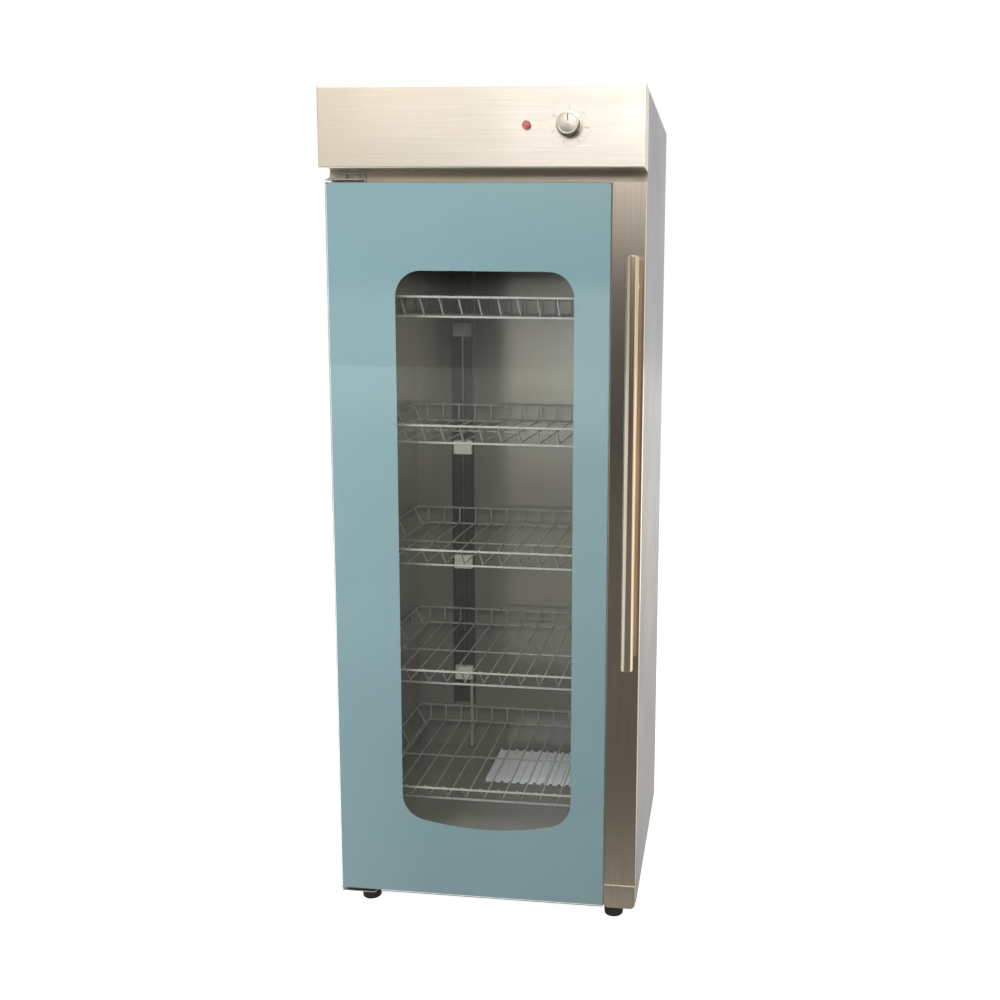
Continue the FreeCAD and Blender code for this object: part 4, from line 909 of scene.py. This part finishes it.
# %% Places of the screws
def solids_of(name):
    """Low and high corners of each separate solid in a CAD node."""
    shape = bmesh.new()
    shape.from_mesh(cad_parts[name].data)
    bmesh.ops.remove_doubles(shape, verts=shape.verts, dist=merge_within)
    unseen_verts, corners = set(shape.verts), []
    while unseen_verts:
        reached = [unseen_verts.pop()]
        for vertex in reached:
            for edge in vertex.link_edges:
                other = edge.other_vert(vertex)
                if other in unseen_verts:
                    unseen_verts.remove(other)
                    reached.append(other)
        corners.append((Vector(min(v.co[i] for v in reached) for i in range(3)),
                        Vector(max(v.co[i] for v in reached) for i in range(3))))
    shape.free()
    return sorted(corners, key=lambda pair: (round(pair[0].z, 4), pair[0].x))


print("solids:", {name: len(solids_of(name)) for name in ("hinge_screws", "panel_screws", "heater_tubes")})

# %% [markdown]
# The dome is turned on its shank, and the recess is cut by a Boolean with two crossed blades
# that narrow towards their tips.

# %% Cross-head screw
head_tall, shank_radius, point_narrow, point_long = 2.2 * MM, 2 * MM, 0.4 * MM, 0.6 * MM
blade_tip = (0.45, 0.7, 1)     # the blade's size at its tip, as shares of its length and width


def cross_head_screw(name, head_radius, shank_long):
    """One screw along +Z, with its head's underside at zero and its shank below."""
    screw = turned(name, [
        (shank_radius - point_narrow, -shank_long), (shank_radius, -shank_long + point_long),
        (shank_radius, 0.0), (head_radius, 0.0), (head_radius, 0.35 * head_tall),
        (0.93 * head_radius, 0.62 * head_tall), (0.78 * head_radius, 0.84 * head_tall),
        (0.5 * head_radius, 0.97 * head_tall), (0.2 * head_radius, head_tall)], segments=32)
    done(smooth_below=35)
    reach, blade_wide, recess_deep = 0.55 * head_radius, 0.22 * head_radius, 0.75 * head_tall
    for quarter in (0, 1):
        blade = block("blade", (-reach, -blade_wide / 2, head_tall - recess_deep),
                      (reach, blade_wide / 2, 2 * head_tall))
        edit(blade)
        pick(blade, "verts", lambda vertex: vertex.co.z < head_tall)
        bpy.ops.transform.resize(value=blade_tip, center_override=(0, 0, 0))
        done()
        blade.rotation_euler = (0, 0, quarter * math.pi / 2)
        settle(blade)
        recess = screw.modifiers.new("recess", "BOOLEAN")
        recess.operation, recess.solver, recess.object = "DIFFERENCE", "EXACT", blade
        select_only(screw)
        bpy.ops.object.modifier_apply(modifier=recess.name)
        bpy.data.objects.remove(blade)
    return screw


# %% [markdown]
# No fitter leaves all the recesses upright, so each screw is turned further than the one before.

# %% Screws in their places
twist, recess_repeats = 37, 90     # degrees from one screw to the next; a cross repeats every 90


def screw_set(name, node, facing):
    """A cross-head screw at each solid of a node, with its head to the front or the back."""
    places = solids_of(node)
    first_low, first_high = places[0]
    head_radius = (first_high.x - first_low.x) / 2
    pattern = cross_head_screw(name, head_radius, first_high.y - first_low.y - head_tall)
    copies = []
    for number, (low, high) in enumerate(places):
        copy = pattern.copy()
        copy.data = pattern.data.copy()
        bpy.context.scene.collection.objects.link(copy)
        underside = high.y - head_tall if facing == BACK else low.y + head_tall
        copy.rotation_euler = facing
        copy.rotation_euler.rotate_axis("Z", math.radians(twist * number % recess_repeats))
        copy.location = ((low.x + high.x) / 2, underside, (low.z + high.z) / 2)
        settle(copy)
        copies.append(copy)
    bpy.data.objects.remove(pattern)
    return join(copies, name)


hinge_set = screw_set("hinge_cross_screws", "hinge_screws", FRONT)
carried_by(hinge_set, "root", "zinc_plated", zinc, "hinge_screws")
panel_set = screw_set("panel_cross_screws", "panel_screws", BACK)
carried_by(panel_set, "root", "zinc_plated", zinc, "panel_screws")

# %% [markdown]
# ## The heating coils
# Inside each quartz tube a resistance wire is wound as a close helix. A small ring, the section
# of the wire, stands one coil radius from the axis, and a Screw modifier winds it upwards: one
# turn for each pitch. Nickel-chrome that has glowed is a dull brown grey.

# %% Heating coils
nickel_chrome = plated("glowed_nickel_chrome", "#8A7F74", "#5C524A", smooth=0.35, rough=0.6, patch_mm=5.0)
coil_radius, wire_radius, coil_pitch, end_space = 3.0 * MM, 0.45 * MM, 3.2 * MM, 8 * MM
wire_sides, turn_steps = 6, 14
coils = []
for low, high in solids_of("heater_tubes"):
    turns = int((high.z - low.z - 2 * end_space) / coil_pitch)
    bpy.ops.object.select_all(action="DESELECT")
    bpy.ops.mesh.primitive_circle_add(vertices=wire_sides, radius=wire_radius, fill_type="NOTHING",
                                      location=(coil_radius, 0, 0), rotation=FRONT)
    coil = bpy.context.object
    coil.name = coil.data.name = "coil"
    settle(coil)
    wound = coil.modifiers.new("wound", "SCREW")
    wound.axis, wound.angle, wound.screw_offset, wound.iterations = "Z", math.tau, coil_pitch, turns
    wound.steps = wound.render_steps = turn_steps
    wound.use_merge_vertices = False
    bpy.ops.object.modifier_apply(modifier=wound.name)
    edit(coil)
    pick(coil, "edges", lambda edge: edge.is_boundary)
    bpy.ops.mesh.fill()
    done(smooth_below=60)
    coil.location = ((low.x + high.x) / 2, (low.y + high.y) / 2,
                     (low.z + high.z) / 2 - turns * coil_pitch / 2)
    settle(coil)
    coils.append(coil)
heater_coils = join(coils, "heater_coils")
carried_by(heater_coils, "root", "polished_steel", nickel_chrome)
